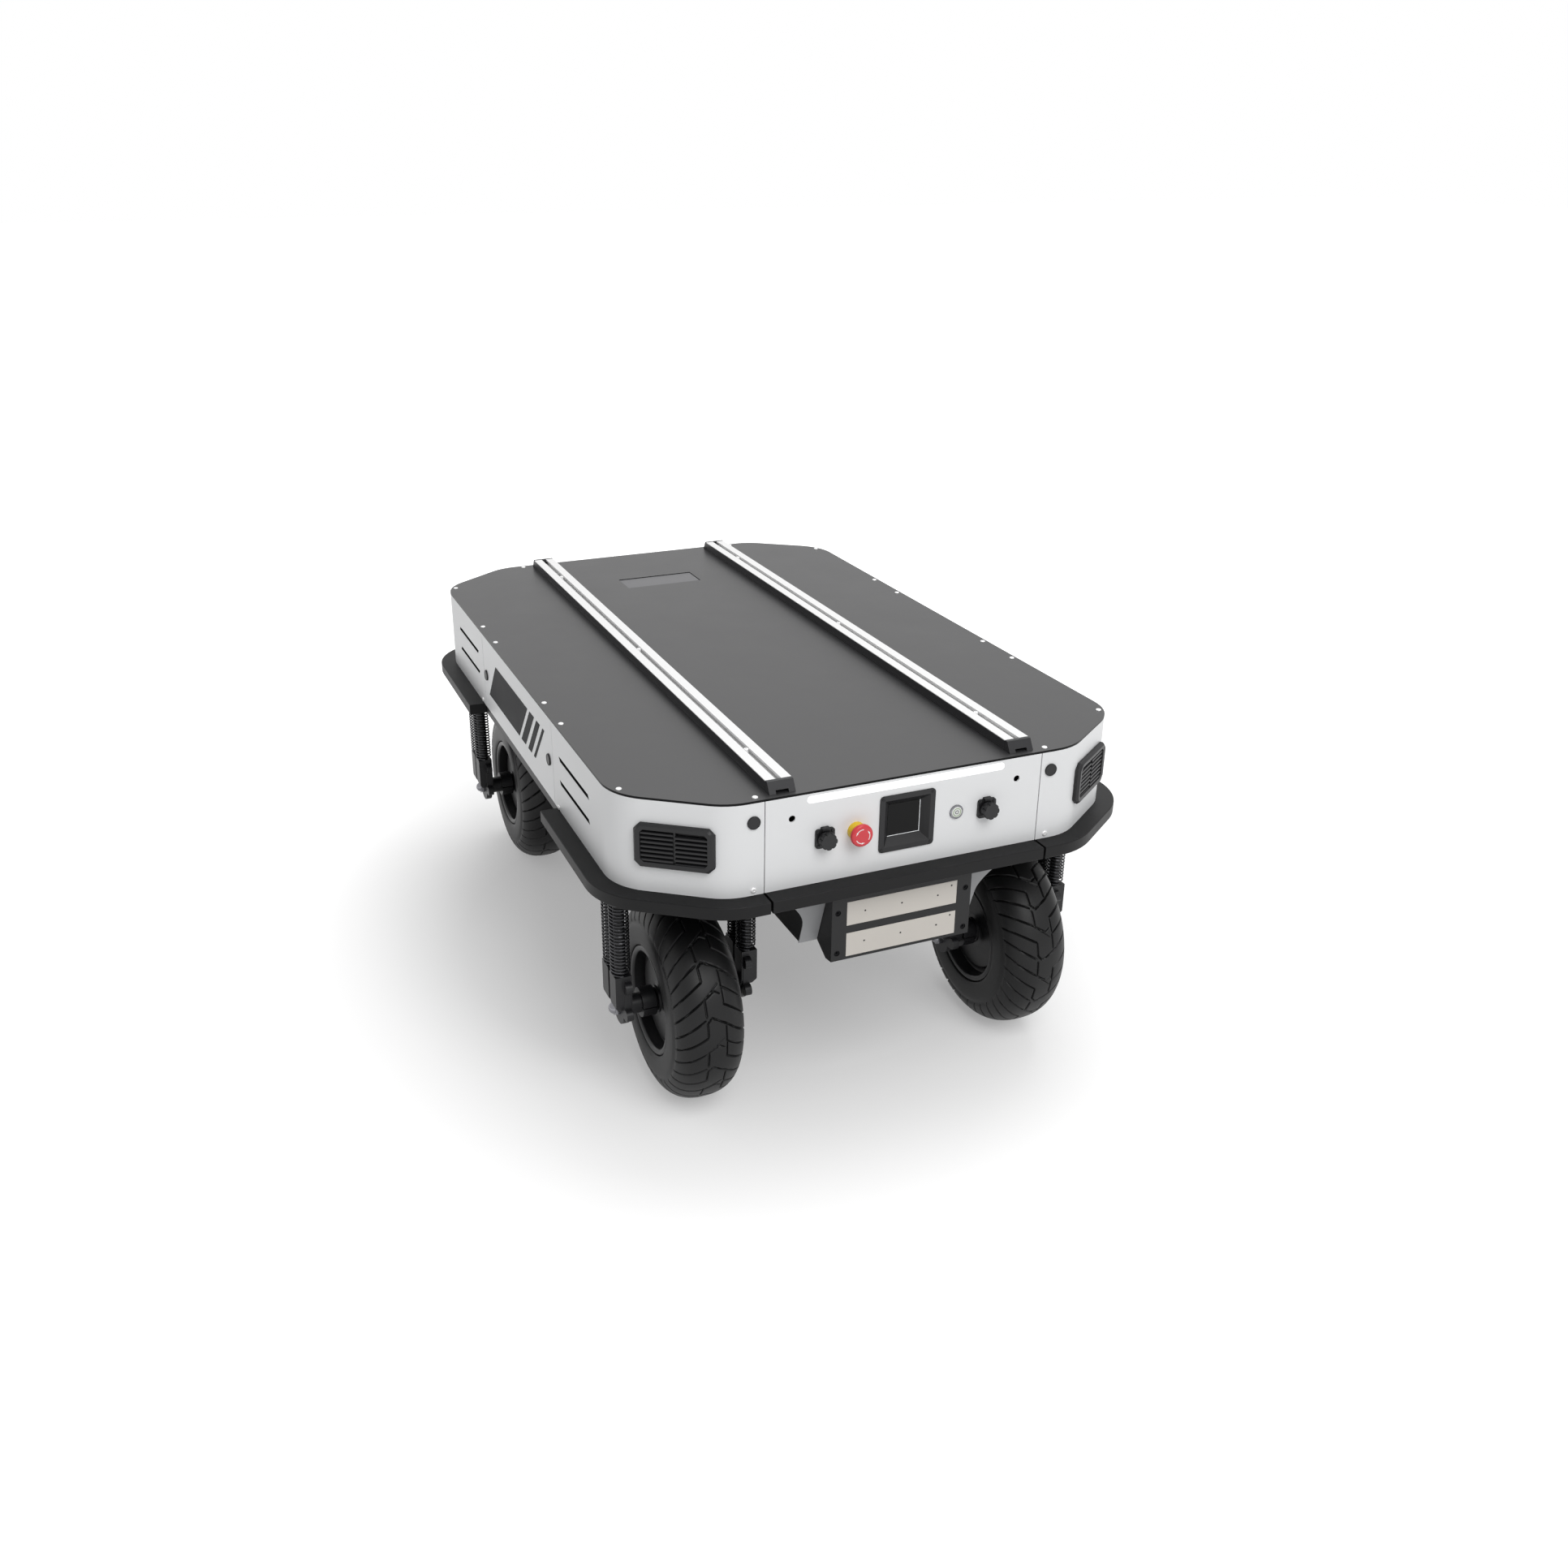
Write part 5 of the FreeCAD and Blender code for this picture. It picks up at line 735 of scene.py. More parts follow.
# %% Tread grooves
SLANT, STEEP, HOOK, SLIT = (1.3, 3.4), (1.2, 3.4), (1.0, 2.6), (0.9, 2.2)
GROOVES = [
    (SLANT, [(-84, 17.4), (-51, 36), (-18, 56.5)]),
    (STEEP, [(-16.5, 58), (-16.5, 83), (-8, 92)]),
    (SLANT, [(-8, 92), (16, 78.3), (37, 62.8), (53.3, 52.8), (84, 35.6)]),
    (SLANT, [(-84, 45.5), (-20, 88.5)]),
    (SLANT, [(-84, 79.7), (-21.4, 121.4)]),
    (SLIT, [(-21.4, 121.4), (11, 147.8)]),
    (STEEP, [(-16.5, 95), (-16.5, 125)]),
    (HOOK, [(-14.4, 125), (3.2, 136.4), (11.7, 131)]),
    (STEEP, [(16.3, 113), (16.3, 138)]),
    (SLANT, [(16.3, 112), (54, 88.4), (84, 71.5)]),
    (STEEP, [(16.5, 145.5), (16.5, 169.6)]),
    (SLANT, [(16, 145), (18, 141), (52, 120.6), (84, 103.5)]),
]
NEIGHBOURS = range(-3, 3)
BORDER, BORDER_STEP, GROOVE_WALL = 80.5, 1.8, 1.9
FAR = 1e9


def distance_to(line, across, along):
    """Each point's distance to a line of points."""
    nearest = np.full(across.shape, FAR)
    for (a0, b0), (a1, b1) in zip(line, line[1:]):
        run = (a1 - a0, b1 - b0)
        share = ((across - a0) * run[0] + (along - b0) * run[1]) / (run[0] ** 2 + run[1] ** 2)
        share = np.clip(share, 0, 1)
        nearest = np.minimum(nearest, np.hypot(across - a0 - share * run[0], along - b0 - share * run[1]))
    return nearest


def eased(value):
    """A smooth step from 0 to 1."""
    value = np.clip(value, 0, 1)
    return value * value * (3 - 2 * value)


def border_depth(across):
    """The step down where the tread ends."""
    return BORDER_STEP * eased((np.abs(across) - BORDER) / GROOVE_WALL)


def tread_depth(across, along):
    """How deep the tread is cut at each point, in mm."""
    depth = border_depth(across)
    for (half_width, full_depth), line in GROOVES:
        for repeat in NEIGHBOURS:
            shifted = [(a, b + repeat * REPEAT_LENGTH) for a, b in line]
            inside = (half_width + GROOVE_WALL / 2 - distance_to(shifted, across, along)) / GROOVE_WALL
            depth = np.maximum(depth, full_depth * eased(inside))
    return depth


# %% [markdown]
# The grid covers one repeat. Its columns go once round the section, closely spaced on the tread and
# widely on the sides, and its rows go along the tyre. The slanting grooves fade out where the sidewall
# begins.

# %% One repeat of the tyre
ROWS = 66
SHEAR = 0.62
CROWN_END, TREAD_END = 19.0, 84.0
FLANK_COLUMNS, SIDE_COLUMNS = 25, 6
GROOVE_FADE_START, GROOVE_FADE, BORDER_FADE = 1.0, 3.0, 9.0
TREAD_PHASE = {1: 19.0, -1: -35.0}


def tread_columns():
    """The grid's columns across the tyre, from side to side, as distances from the crown."""
    crown = np.arange(0, CROWN_END + 1)
    flank = np.linspace(CROWN_END, TREAD_END, FLANK_COLUMNS + 1)[1:]
    side = np.linspace(TREAD_END, curve_length[-1], SIDE_COLUMNS + 1)[1:]
    half = np.concatenate([crown, flank, side])
    return np.concatenate([-half[:0:-1], half])


def cut_section(across, along):
    """Where each point of the grid lies across the tyre, and its radius, once the tread is cut."""
    distance, sign = np.abs(across), np.sign(across)
    groove_fade = 1 - eased((distance - BORDER - GROOVE_FADE_START) / GROOVE_FADE)
    border_fade = 1 - eased((distance - TREAD_END) / BORDER_FADE)
    depth = np.maximum(tread_depth(across, along) * groove_fade, border_depth(across) * border_fade)
    place = np.interp(distance, curve_length, curve_across)
    radius = np.interp(distance, curve_length, curve_radius)
    lean = np.interp(distance, curve_length, np.gradient(curve_radius, curve_length))
    run = np.interp(distance, curve_length, np.gradient(curve_across, curve_length))
    return (place + depth * lean) * sign, radius - depth * run


def tyre_repeat(direction, phase):
    """One repeat about the origin, running one way or the other, and moved round the wheel by its phase."""
    across = tread_columns()
    shear = SHEAR * np.clip(np.abs(across), 0, TREAD_END)
    row_places = np.linspace(0, REPEAT_LENGTH, ROWS + 1)
    grid_across, grid_row = np.meshgrid(across, row_places)
    place, radius = cut_section(grid_across, grid_row - shear)
    bead = np.array(BEAD_LINE)
    right = np.repeat(bead[None], ROWS + 1, axis=0)
    left = right[:, -2::-1] * (-1, 1)
    place = np.concatenate([left[..., 0], place, right[..., 0]], axis=1)
    radius = np.concatenate([left[..., 1], radius, right[..., 1]], axis=1)
    bead_shear = np.full(len(bead), SHEAR * TREAD_END)
    shear = np.concatenate([bead_shear[:-1], shear, bead_shear])
    angle = (direction * (row_places[:, None] - shear) + phase) / WHEEL_RADIUS
    points = np.stack([radius * np.cos(angle), place, radius * np.sin(angle)], axis=-1) * MM
    count = points.shape[1]
    faces = []
    for row in range(ROWS):
        low, high = row * count, (row + 1) * count
        for column in range(count):
            after = (column + 1) % count
            faces.append((low + column, low + after, high + after, high + column))
    return mesh_from("tyre_repeat", points.reshape(-1, 3), faces)


# %% [markdown]
# A tyre's tread is the same block pattern over and over, so one repeat is modelled and the tree below
# sets the rest. It puts a number of points at the axle, turns each one by its share of a full turn, and
# copies the repeat onto them. A Transform in a loop would do the same, but here the count is one input.

# %% Tree that repeats a shape round an axle
round_tree, round_start = start_tree("round_the_axle", {"Repeats": "Int", "Centre": "Vector"})
round_points = add_node(round_tree, "GeometryNodePoints")
round_index = add_node(round_tree, "GeometryNodeInputIndex")
round_step = add_node(round_tree, "ShaderNodeMath", {0: 2 * math.pi}, operation="DIVIDE")
round_angle = add_node(round_tree, "ShaderNodeMath", operation="MULTIPLY")
round_turn = add_node(round_tree, "FunctionNodeAxisAngleToRotation", {"Axis": (0, 1, 0)})
round_copies = add_node(round_tree, "GeometryNodeInstanceOnPoints")
join(round_tree, round_start, "Repeats", round_points, "Count")
join(round_tree, round_start, "Centre", round_points, "Position")
join(round_tree, round_start, "Repeats", round_step, 1)
join(round_tree, round_step, 0, round_angle, 0)
join(round_tree, round_index, 0, round_angle, 1)
join(round_tree, round_angle, 0, round_turn, "Angle")
join(round_tree, round_points, 0, round_copies, "Points")
join(round_tree, round_start, "Geometry", round_copies, "Instance")
join(round_tree, round_turn, "Rotation", round_copies, "Rotation")
end_tree(round_tree, round_start, round_copies)

# %% [markdown]
# The tread runs one way on the right and the other way on the left, as it does on real wheels in pairs.
# The phase turns the pattern to where it stands on each side.

# %% Four tyres
WHEEL_X, WHEEL_Y = 512.0, 325.0
TREAD_SHARP_ANGLE = 40
for corner, (x_sign, y_sign) in CORNERS.items():
    centre = Vector((WHEEL_X * x_sign, WHEEL_Y * y_sign, WHEEL_RADIUS)) * MM
    values = {"Repeats": TYRE_REPEATS, "Centre": centre}
    repeat = tyre_repeat(-y_sign, TREAD_PHASE[y_sign])
    tyre = made_by_nodes("tyre_tread_" + corner, round_tree, repeat, tyre_black, values,
                         TREAD_SHARP_ANGLE)
    settle(tyre, "wheel_" + corner, "tyre_rubber", "tyre_" + corner)

# %% [markdown]
# ## Wheel hubs
# The hub motor fills the rim. Its cover is turned: a boss at the axle, a flat face with a bevelled edge,
# a deep step and the rolled lip of the rim. It is one profile spun about the axle, mirrored for the inner
# face.

# %% Hubs
HUB_FACE = [(50.0, 8.05), (50.0, 21.5), (48.0, 23.8), (44.5, 24.6), (42.6, 27.5), (42.0, 34.0)]
HUB_FACE += [(42.0, 73.0), (41.0, 75.8), (38.5, 77.4), (36.4, 79.0), (36.0, 84.0), (37.5, 87.2)]
HUB_FACE += [(57.0, 88.0), (60.2, 89.4), (62.0, 92.0), (62.4, 94.6), (61.9, 97.2), (60.4, 99.0)]
HUB_FACE += [(58.0, 99.4), (50.0, 99.3), (48.6, 98.0), (48.0, 94.7)]
HUB_SEGMENTS = 96
hub_profile = HUB_FACE + [(-along, radius) for along, radius in reversed(HUB_FACE)]
for corner, (x_sign, y_sign) in CORNERS.items():
    centre = Vector((WHEEL_X * x_sign, WHEEL_Y * y_sign, WHEEL_RADIUS)) * MM
    hub_shape = spun(hub_profile, centre, Y_AXIS, HUB_SEGMENTS)
    hub = made_piece("hub_" + corner, hub_black, [hub_shape], edge=0)
    settle(hub, "wheel_" + corner, "hub_paint", "wheel_hub_" + corner)

# %% [markdown]
# ## Springs
# Each strut has a coil spring round its guide rod, between the crown plate and the leg. A tree draws the
# coil as a spiral, gives it a round wire and sets one on each of the four struts.

# %% Tree for coil springs
STEPS_PER_TURN, WIRE_SIDES = 20, 8
coil_tree, coil_start = start_tree("coil_springs", {"Coil Radius": "Float", "Wire Radius": "Float",
                                                   "Turns": "Float", "Height": "Float"})
coil_line = add_node(coil_tree, "GeometryNodeCurveSpiral", {"Resolution": STEPS_PER_TURN})
coil_wire = add_node(coil_tree, "GeometryNodeCurvePrimitiveCircle", {"Resolution": WIRE_SIDES})
coil_solid = add_node(coil_tree, "GeometryNodeCurveToMesh", {"Fill Caps": True})
coil_copies = add_node(coil_tree, "GeometryNodeInstanceOnPoints")
for socket in ("Start Radius", "End Radius"):
    join(coil_tree, coil_start, "Coil Radius", coil_line, socket)
join(coil_tree, coil_start, "Turns", coil_line, "Rotations")
join(coil_tree, coil_start, "Height", coil_line, "Height")
join(coil_tree, coil_start, "Wire Radius", coil_wire, "Radius")
join(coil_tree, coil_line, "Curve", coil_solid, "Curve")
join(coil_tree, coil_wire, "Curve", coil_solid, "Profile Curve")
join(coil_tree, coil_start, "Geometry", coil_copies, "Points")
join(coil_tree, coil_solid, "Mesh", coil_copies, "Instance")
end_tree(coil_tree, coil_start, coil_copies)

# %% [markdown]
# One seed mesh for each wheel holds the four points where its springs stand. The coils could be a swept
# curve drawn by hand, but as a spiral their height and their number of turns stay plain numbers.

# %% Springs on the struts
STRUT_X, STRUT_Y = 21.0, 118.0
SPRING_TOP, SPRING_BOTTOM = 438.0, 267.5
SPRING_RADIUS, WIRE_RADIUS, SPRING_TURNS = 18.0, 1.6, 25.5
spring_values = {
    "Coil Radius": (SPRING_RADIUS - WIRE_RADIUS) * MM,
    "Wire Radius": WIRE_RADIUS * MM,
    "Turns": SPRING_TURNS,
    "Height": (SPRING_TOP - SPRING_BOTTOM - 2 * WIRE_RADIUS) * MM,
}
for corner, (x_sign, y_sign) in CORNERS.items():
    wheel_x, wheel_y = WHEEL_X * x_sign, WHEEL_Y * y_sign
    feet = []
    for dx in (-STRUT_X, STRUT_X):
        for dy in (-STRUT_Y, STRUT_Y):
            feet.append(((wheel_x + dx) * MM, (wheel_y + dy) * MM, (SPRING_BOTTOM + WIRE_RADIUS) * MM))
    seed = bpy.data.meshes.new("spring_feet")
    seed.from_pydata(feet, [], [])
    coils = made_by_nodes("coils_" + corner, coil_tree, seed, spring_black, spring_values)
    settle(coils, "fork_" + corner, "spring_steel", "springs_" + corner)
    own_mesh(coils)

# %% [markdown]
# ## Controls on the front panel
# The stop button is a red mushroom on a yellow collar. Both are turned parts. The three arrows on its top
# show the way to twist it: each one is a short arc with a point, a hair thicker than paint so that it
# stays clear of the red surface under it.

# %% Emergency stop
CONTROL_Z = 565.0
ESTOP_Y = -93.5
ARROW_STARTS, ARROW_SWEEP, ARROW_STEPS = (95, 215, 335), -1.0, 10
ARROW_RADIUS, ARROW_WIDTH, ARROW_THICKNESS = 12.4, 1.3, 0.25
ARROW_HEAD_WIDTH, ARROW_TIP = 1.25, 1.45
ESTOP_FACE = 25.5
COLLAR = [(0, 7.05), (0, 15.5), (1.0, 15.5), (9.0, 14.4), (9.8, 14.0), (10, 13.2), (10, 7.05)]
MUSHROOM = [(16.8, 5.0), (16.8, 17.4), (17.6, 18.8), (18.8, 19.5), (21.6, 19.5), (23.0, 19.2), (24.2, 18.4)]
MUSHROOM += [(25.0, 17.2), (25.4, 15.8), (25.6, 14.2), (25.6, 0), (21.8, 0), (21.8, 5.0)]
estop_place = Vector((FACE_X, ESTOP_Y, CONTROL_Z)) * MM


def turned_control(name, material, profile, place, body, slot, *nodes, segments=64):
    """A turned piece on the front panel, spun about X."""
    piece = made_piece(name, material, [spun(profile, place, X_AXIS, segments)], edge=0)
    settle(piece, body, slot, *nodes)


def arc_arrow(start_angle):
    """The outline of an arrow along an arc, as (across, up) points in mm."""
    def at(radius, angle):
        return radius * math.cos(angle), radius * math.sin(angle)

    angles = [start_angle + ARROW_SWEEP * index / ARROW_STEPS for index in range(ARROW_STEPS + 1)]
    outer = [at(ARROW_RADIUS + ARROW_WIDTH / 2, angle) for angle in angles]
    inner = [at(ARROW_RADIUS - ARROW_WIDTH / 2, angle) for angle in reversed(angles)]
    barb = ARROW_WIDTH * ARROW_HEAD_WIDTH
    tip = [at(ARROW_RADIUS + barb, angles[-1]), at(ARROW_RADIUS, start_angle + ARROW_SWEEP * ARROW_TIP),
           at(ARROW_RADIUS - barb, angles[-1])]
    return outer + tip + inner


turned_control("stop_collar", stop_yellow, COLLAR, estop_place, "chassis", "yellow_plastic", "estop_collar")
turned_control("stop_mushroom", stop_red, MUSHROOM, estop_place, "estop_head", "red_plastic", "estop_head")
arrow_place = estop_place + X_AXIS * ESTOP_FACE * MM
arrow_depth = X_AXIS * ARROW_THICKNESS * MM
arrows = [pushed(arc_arrow(math.radians(start)), arrow_place, -Y_AXIS, Z_AXIS, arrow_depth)
          for start in ARROW_STARTS]
stop_arrows = made_piece("stop_arrows", mark_white, arrows, edge=0)
settle(stop_arrows, "estop_head", "red_plastic")

# %% [markdown]
# The power button is a metal ring round a pale cap. A green ring and a small dark one are printed on the
# cap; here they are very thin rings that stand clear of its face, because two surfaces in one place
# flicker.

# %% Power button
BUTTON_Y = 93.5
RING = [(0, 9.65), (0, 12.6), (1.8, 12.6), (2.7, 12.0), (3.0, 11.2), (2.7, 10.3), (1.8, 9.65)]
FACE = [(-18.4, 0), (-18.4, 9.6), (2.6, 9.6), (3.0, 9.1), (3.3, 8.0), (3.3, 0)]
GREEN_RING = [(3.2, 6.3), (3.42, 6.3), (3.42, 7.3), (3.2, 7.3)]
GREY_RING = [(3.2, 2.5), (3.42, 2.5), (3.42, 3.4), (3.2, 3.4)]
button_place = Vector((FACE_X, BUTTON_Y, CONTROL_Z)) * MM
turned_control("button_ring", chrome, RING, button_place, "chassis", "button_steel", "power_button_bezel")
turned_control("button_face", cap_face, FACE, button_place, "power_button", "button_face",
               "power_button_cap")
turned_control("button_green_ring", mark_green, GREEN_RING, button_place, "power_button", "button_face")
turned_control("button_grey_ring", mark_dark, GREY_RING, button_place, "power_button", "button_face",
               segments=48)

# %% [markdown]
# The two sockets have a square flange with rounded corners, a screw in each corner and a lug on top.
# Their dust caps have eight finger lobes: a circle with eight dents, pushed forwards from a round skirt.

# %% Sockets and their caps
PORT_Y, PORT_Z = 150.6, 563.0
FLANGE_HALF_WIDTH, FLANGE_CORNER, FLANGE_DEPTH = 17, 5, 5
CORNER_STEPS, SKIRT_SEGMENTS = 6, 64
LUG_HALF_WIDTH, LUG_BOTTOM, LUG_TOP, LUG_DEPTH = 7, 15, 20, 9
PORT_SCREW_OFFSET, PORT_SCREW_RADIUS, PORT_SCREW_HEIGHT = 12.6, 2.9, 1.6
SLEEVE = [(0, 9), (0, 12), (11, 12), (11, 9)]
SKIRT = [(0.05, 12.1), (0.05, 14.4), (5, 14.4), (5, 12.1)]
CAP_START, GRIP_START, GRIP_DEPTH = 7, 4, 10
LOBES, LOBE_RADIUS, LOBE_DEPTH, LOBE_FLATNESS, LOBE_POINTS = 8, 12.4, 2.2, 0.35, 96


def rounded_square(half_width, radius):
    """The outline of a square about the middle, with an arc at each corner."""
    outline = []
    for across, up, start in [(1, 1, 0), (-1, 1, 90), (-1, -1, 180), (1, -1, 270)]:
        for step in range(CORNER_STEPS + 1):
            angle = math.radians(start + 90 * step / CORNER_STEPS)
            outline.append((across * (half_width - radius) + radius * math.cos(angle),
                            up * (half_width - radius) + radius * math.sin(angle)))
    return outline


cap_outline = []
for index in range(LOBE_POINTS):
    angle = 2 * math.pi * index / LOBE_POINTS
    reach = LOBE_RADIUS + LOBE_DEPTH * abs(math.cos(LOBES / 2 * angle)) ** LOBE_FLATNESS
    cap_outline.append((reach * math.cos(angle), reach * math.sin(angle)))
flange_outline = rounded_square(FLANGE_HALF_WIDTH, FLANGE_CORNER)
port_shapes, port_screws = [], []
for y in (-PORT_Y, PORT_Y):
    place = Vector((FACE_X, y, PORT_Z)) * MM
    port_shapes.append(pushed(flange_outline, place, Y_AXIS, Z_AXIS, X_AXIS * FLANGE_DEPTH * MM))
    port_shapes.append(block((FACE_X, y - LUG_HALF_WIDTH, PORT_Z + LUG_BOTTOM),
                             (FACE_X + LUG_DEPTH, y + LUG_HALF_WIDTH, PORT_Z + LUG_TOP)))
    port_shapes.append(spun(SLEEVE, place, X_AXIS))
    for a in (-PORT_SCREW_OFFSET, PORT_SCREW_OFFSET):
        for b in (-PORT_SCREW_OFFSET, PORT_SCREW_OFFSET):
            port_screws.append(((FACE_X + FLANGE_DEPTH, y + a, PORT_Z + b), (1, 0, 0)))
ports = made_piece("socket_flanges", plastic_black, port_shapes, edge=0.5)
settle(ports, "chassis", "port_metal", "charge_ports")
socket_screws = screws("socket_screws", port_screws, button_head, PORT_SCREW_RADIUS, PORT_SCREW_HEIGHT,
                       dark_steel)
settle(socket_screws, "chassis", "screw_steel")
for side, y in (("left", PORT_Y), ("right", -PORT_Y)):
    place = Vector((FACE_X + CAP_START, y, PORT_Z)) * MM
    grip = pushed(cap_outline, place + X_AXIS * GRIP_START * MM, Y_AXIS, Z_AXIS, X_AXIS * GRIP_DEPTH * MM)
    cap_shapes = [spun(SKIRT, place, X_AXIS, SKIRT_SEGMENTS), grip]
    cap = made_piece("dust_cap_" + side, plastic_black, cap_shapes, edge=0.7, segments=3)
    settle(cap, "port_cap_" + side, "black_plastic", "port_cap_" + side)

# %% [markdown]
# Four small screws hold the display's bezel. A thin bright strip runs under the screen and up its right
# side,
# where the glass ends: a painted highlight, for the light that the glass's edge catches there.

# %% Display screws and painted highlight on the screen
DISPLAY_Z = 565.8
# The bright strip at the screen's edge is a painted highlight.
GLINT_WIDTH, GLINT_THICKNESS = 1.1, 0.5
DISPLAY_SCREW_OFFSET, DISPLAY_SCREW_RADIUS, DISPLAY_SCREW_HEIGHT = 45.6, 2.6, 1.2
BEZEL_DEPTH = 2.5
screen_low, screen_high = [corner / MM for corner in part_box("display_screen")]
glint_left, glint_top = screen_high.y - GLINT_WIDTH, screen_low.z + GLINT_WIDTH
glint_outline = [(screen_low.y, screen_low.z), (screen_high.y, screen_low.z), (screen_high.y, screen_high.z),
               (glint_left, screen_high.z), (glint_left, glint_top), (screen_low.y, glint_top)]
glint_place = Vector((screen_high.x, 0, 0)) * MM
glint_shape = pushed(glint_outline, glint_place, Y_AXIS, Z_AXIS, X_AXIS * GLINT_THICKNESS * MM)
glint_strip = made_piece("screen_lip", ring_steel, [glint_shape], edge=0.2)
settle(glint_strip, "chassis", "button_steel")
display_places = []
for a in (-DISPLAY_SCREW_OFFSET, DISPLAY_SCREW_OFFSET):
    for b in (-DISPLAY_SCREW_OFFSET, DISPLAY_SCREW_OFFSET):
        display_places.append(((FACE_X + BEZEL_DEPTH, a, DISPLAY_Z + b), (1, 0, 0)))
display_screws = screws("display_screws", display_places, button_head, DISPLAY_SCREW_RADIUS,
                        DISPLAY_SCREW_HEIGHT, dark_steel)
settle(display_screws, "chassis", "screw_steel")

# %% [markdown]
# ## Sensors
# Round ultrasonic sensors look out of the covers. Each is a turned plug with a rounded rim and a shallow
# recess, which holds the flat face of the transducer.

# %% Ultrasonic sensors
SENSOR = [(-6, 0), (-6, 9.0), (0, 9.0), (0, 11.2), (2.3, 11.2), (3.0, 10.8), (3.3, 10.1), (3.2, 9.5)]
SENSOR += [(2.8, 9.2), (2.8, 0)]
SENSOR_SEGMENTS = 40
END_SENSOR_Y, END_SENSOR_Z = 274.5, 611.6
SIDE_SENSOR_X, SIDE_SENSOR_Z = 242.0, 560.5
sensor_shapes = []
for x_sign, y_sign in CORNERS.values():
    end_place = Vector((FACE_X * x_sign, END_SENSOR_Y * y_sign, END_SENSOR_Z)) * MM
    side_place = Vector((SIDE_SENSOR_X * x_sign, SIDE_Y * y_sign, SIDE_SENSOR_Z)) * MM
    sensor_shapes.append(spun(SENSOR, end_place, X_AXIS * x_sign, SENSOR_SEGMENTS))
    sensor_shapes.append(spun(SENSOR, side_place, Y_AXIS * y_sign, SENSOR_SEGMENTS))
sensors = made_piece("sensor_plugs", plastic_black, sensor_shapes, edge=0)
settle(sensors, "chassis", "black_plastic", "ultrasonic_sensors")

# %% [markdown]
# ## Battery bay
# The two beige fascias have small holes, cut with a Boolean modifier by short pins. A dark disc fills each
# hole just behind the surface: painted shade in the holes. The bolts that hold the bay's face sit in
# counterbores.

# %% Battery fascias and bolts
FASCIA_HOLES = [(y, z) for z in (353.9, 411.7) for y in (-70.6, -1.3, 68.0)]
FASCIA_HOLES += [(94.1, 368.1), (94.1, 425.6)]
HOLE_PIN = [(-8, 0), (-8, 1.7), (3, 1.7), (3, 0)]
# The dark disc in each hole is painted shade.
HOLE_SHADE_DISC = [(-3, 0), (-3, 1.65), (-0.6, 1.65), (-0.6, 0)]
BAY_BOLT_Y, BAY_BOLT_Z = (-121.5, 121.5), (339.5, 416.3)
BAY_BOLT_RADIUS, BAY_BOLT_HEIGHT, COUNTERBORE_DEPTH = 5.8, 5.0, 7
PIN_SEGMENTS = 24
FASCIA_EDGE = 0.0004
bay_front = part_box("battery_fascias")[1].x / MM


def fascia_pins(name, profile):
    """A piece with one turned pin at each hole of the fascias."""
    places = [Vector((bay_front, y, z)) * MM for y, z in FASCIA_HOLES]
    shapes = [spun(profile, place, X_AXIS, PIN_SEGMENTS) for place in places]
    return made_piece(name, plastic_black, shapes, edge=0)


pins = fascia_pins("hole_pins", HOLE_PIN)
fascias = new_piece("battery_fascia_plates", merged_copy("battery_fascias"), fascia_beige)
cut = fascias.modifiers.new("holes", "BOOLEAN")
cut.operation = "DIFFERENCE"
cut.object = pins
cut.solver = "EXACT"
apply_modifiers(fascias)
round_edges(fascias, FASCIA_EDGE)
bpy.data.objects.remove(pins)
settle(fascias, "chassis", "beige_plastic", "battery_fascias")
settle(fascia_pins("fascia_plugs", HOLE_SHADE_DISC), "chassis", "black_plastic")
bolt_places = [((bay_front - COUNTERBORE_DEPTH, y, z), (1, 0, 0)) for y in BAY_BOLT_Y for z in BAY_BOLT_Z]
bay_bolts = screws("bay_bolts", bolt_places, cap_head, BAY_BOLT_RADIUS, BAY_BOLT_HEIGHT, mark_dark)
settle(bay_bolts, "chassis", "screw_steel")

# %% [markdown]
# ## Side plates
# Each side carries a blank dark name field and three slanted bars, like the place where a fleet number
# would go. They are thin plates on the white side panel.

# %% Name fields and bars
PLATE_THICKNESS = 0.6
SIDE_FIELDS = [
    [(-226, 523), (21, 523), (97, 607), (-154, 607)],
    [(37, 523), (69, 523), (145, 607), (113, 607)],
    [(88, 523), (112, 523), (186, 607), (162, 607)],
    [(129, 523), (141, 523), (217, 607), (205, 607)],
]
field_shapes = []
for y_sign in (1, -1):
    place = Vector((0, SIDE_Y * y_sign, 0)) * MM
    for outline in SIDE_FIELDS:
        field_shapes.append(pushed(outline, place, X_AXIS, Z_AXIS, Y_AXIS * y_sign * PLATE_THICKNESS * MM))
fields = made_piece("side_fields", mark_dark, field_shapes, edge=0.2)
settle(fields, "chassis", "black_plastic")

# %% [markdown]
# ## Corner grilles
# A moulded grille stands on each chamfered corner: a bevelled frame with cut corners, and two columns of
# louvres that slope outwards, the inner column half a pitch lower. A tree repeats one louvre down each
# column.

# %% Grille frame
GRILLE_WIDTH, GRILLE_HEIGHT, GRILLE_Z = 134.0, 77.0, 567.5
CHAMFER_RUN, CHAMFER_REACH = 112.4, 156.0
CHAMFER_ANGLE = math.atan2(CHAMFER_RUN, CHAMFER_REACH)
GRILLE_X, GRILLE_Y = 673.83, 388.33
grille_place = Vector((GRILLE_X, GRILLE_Y, GRILLE_Z)) * MM
grille_out = Vector((math.cos(CHAMFER_ANGLE), math.sin(CHAMFER_ANGLE), 0))
grille_across = Vector((-math.sin(CHAMFER_ANGLE), math.cos(CHAMFER_ANGLE), 0))


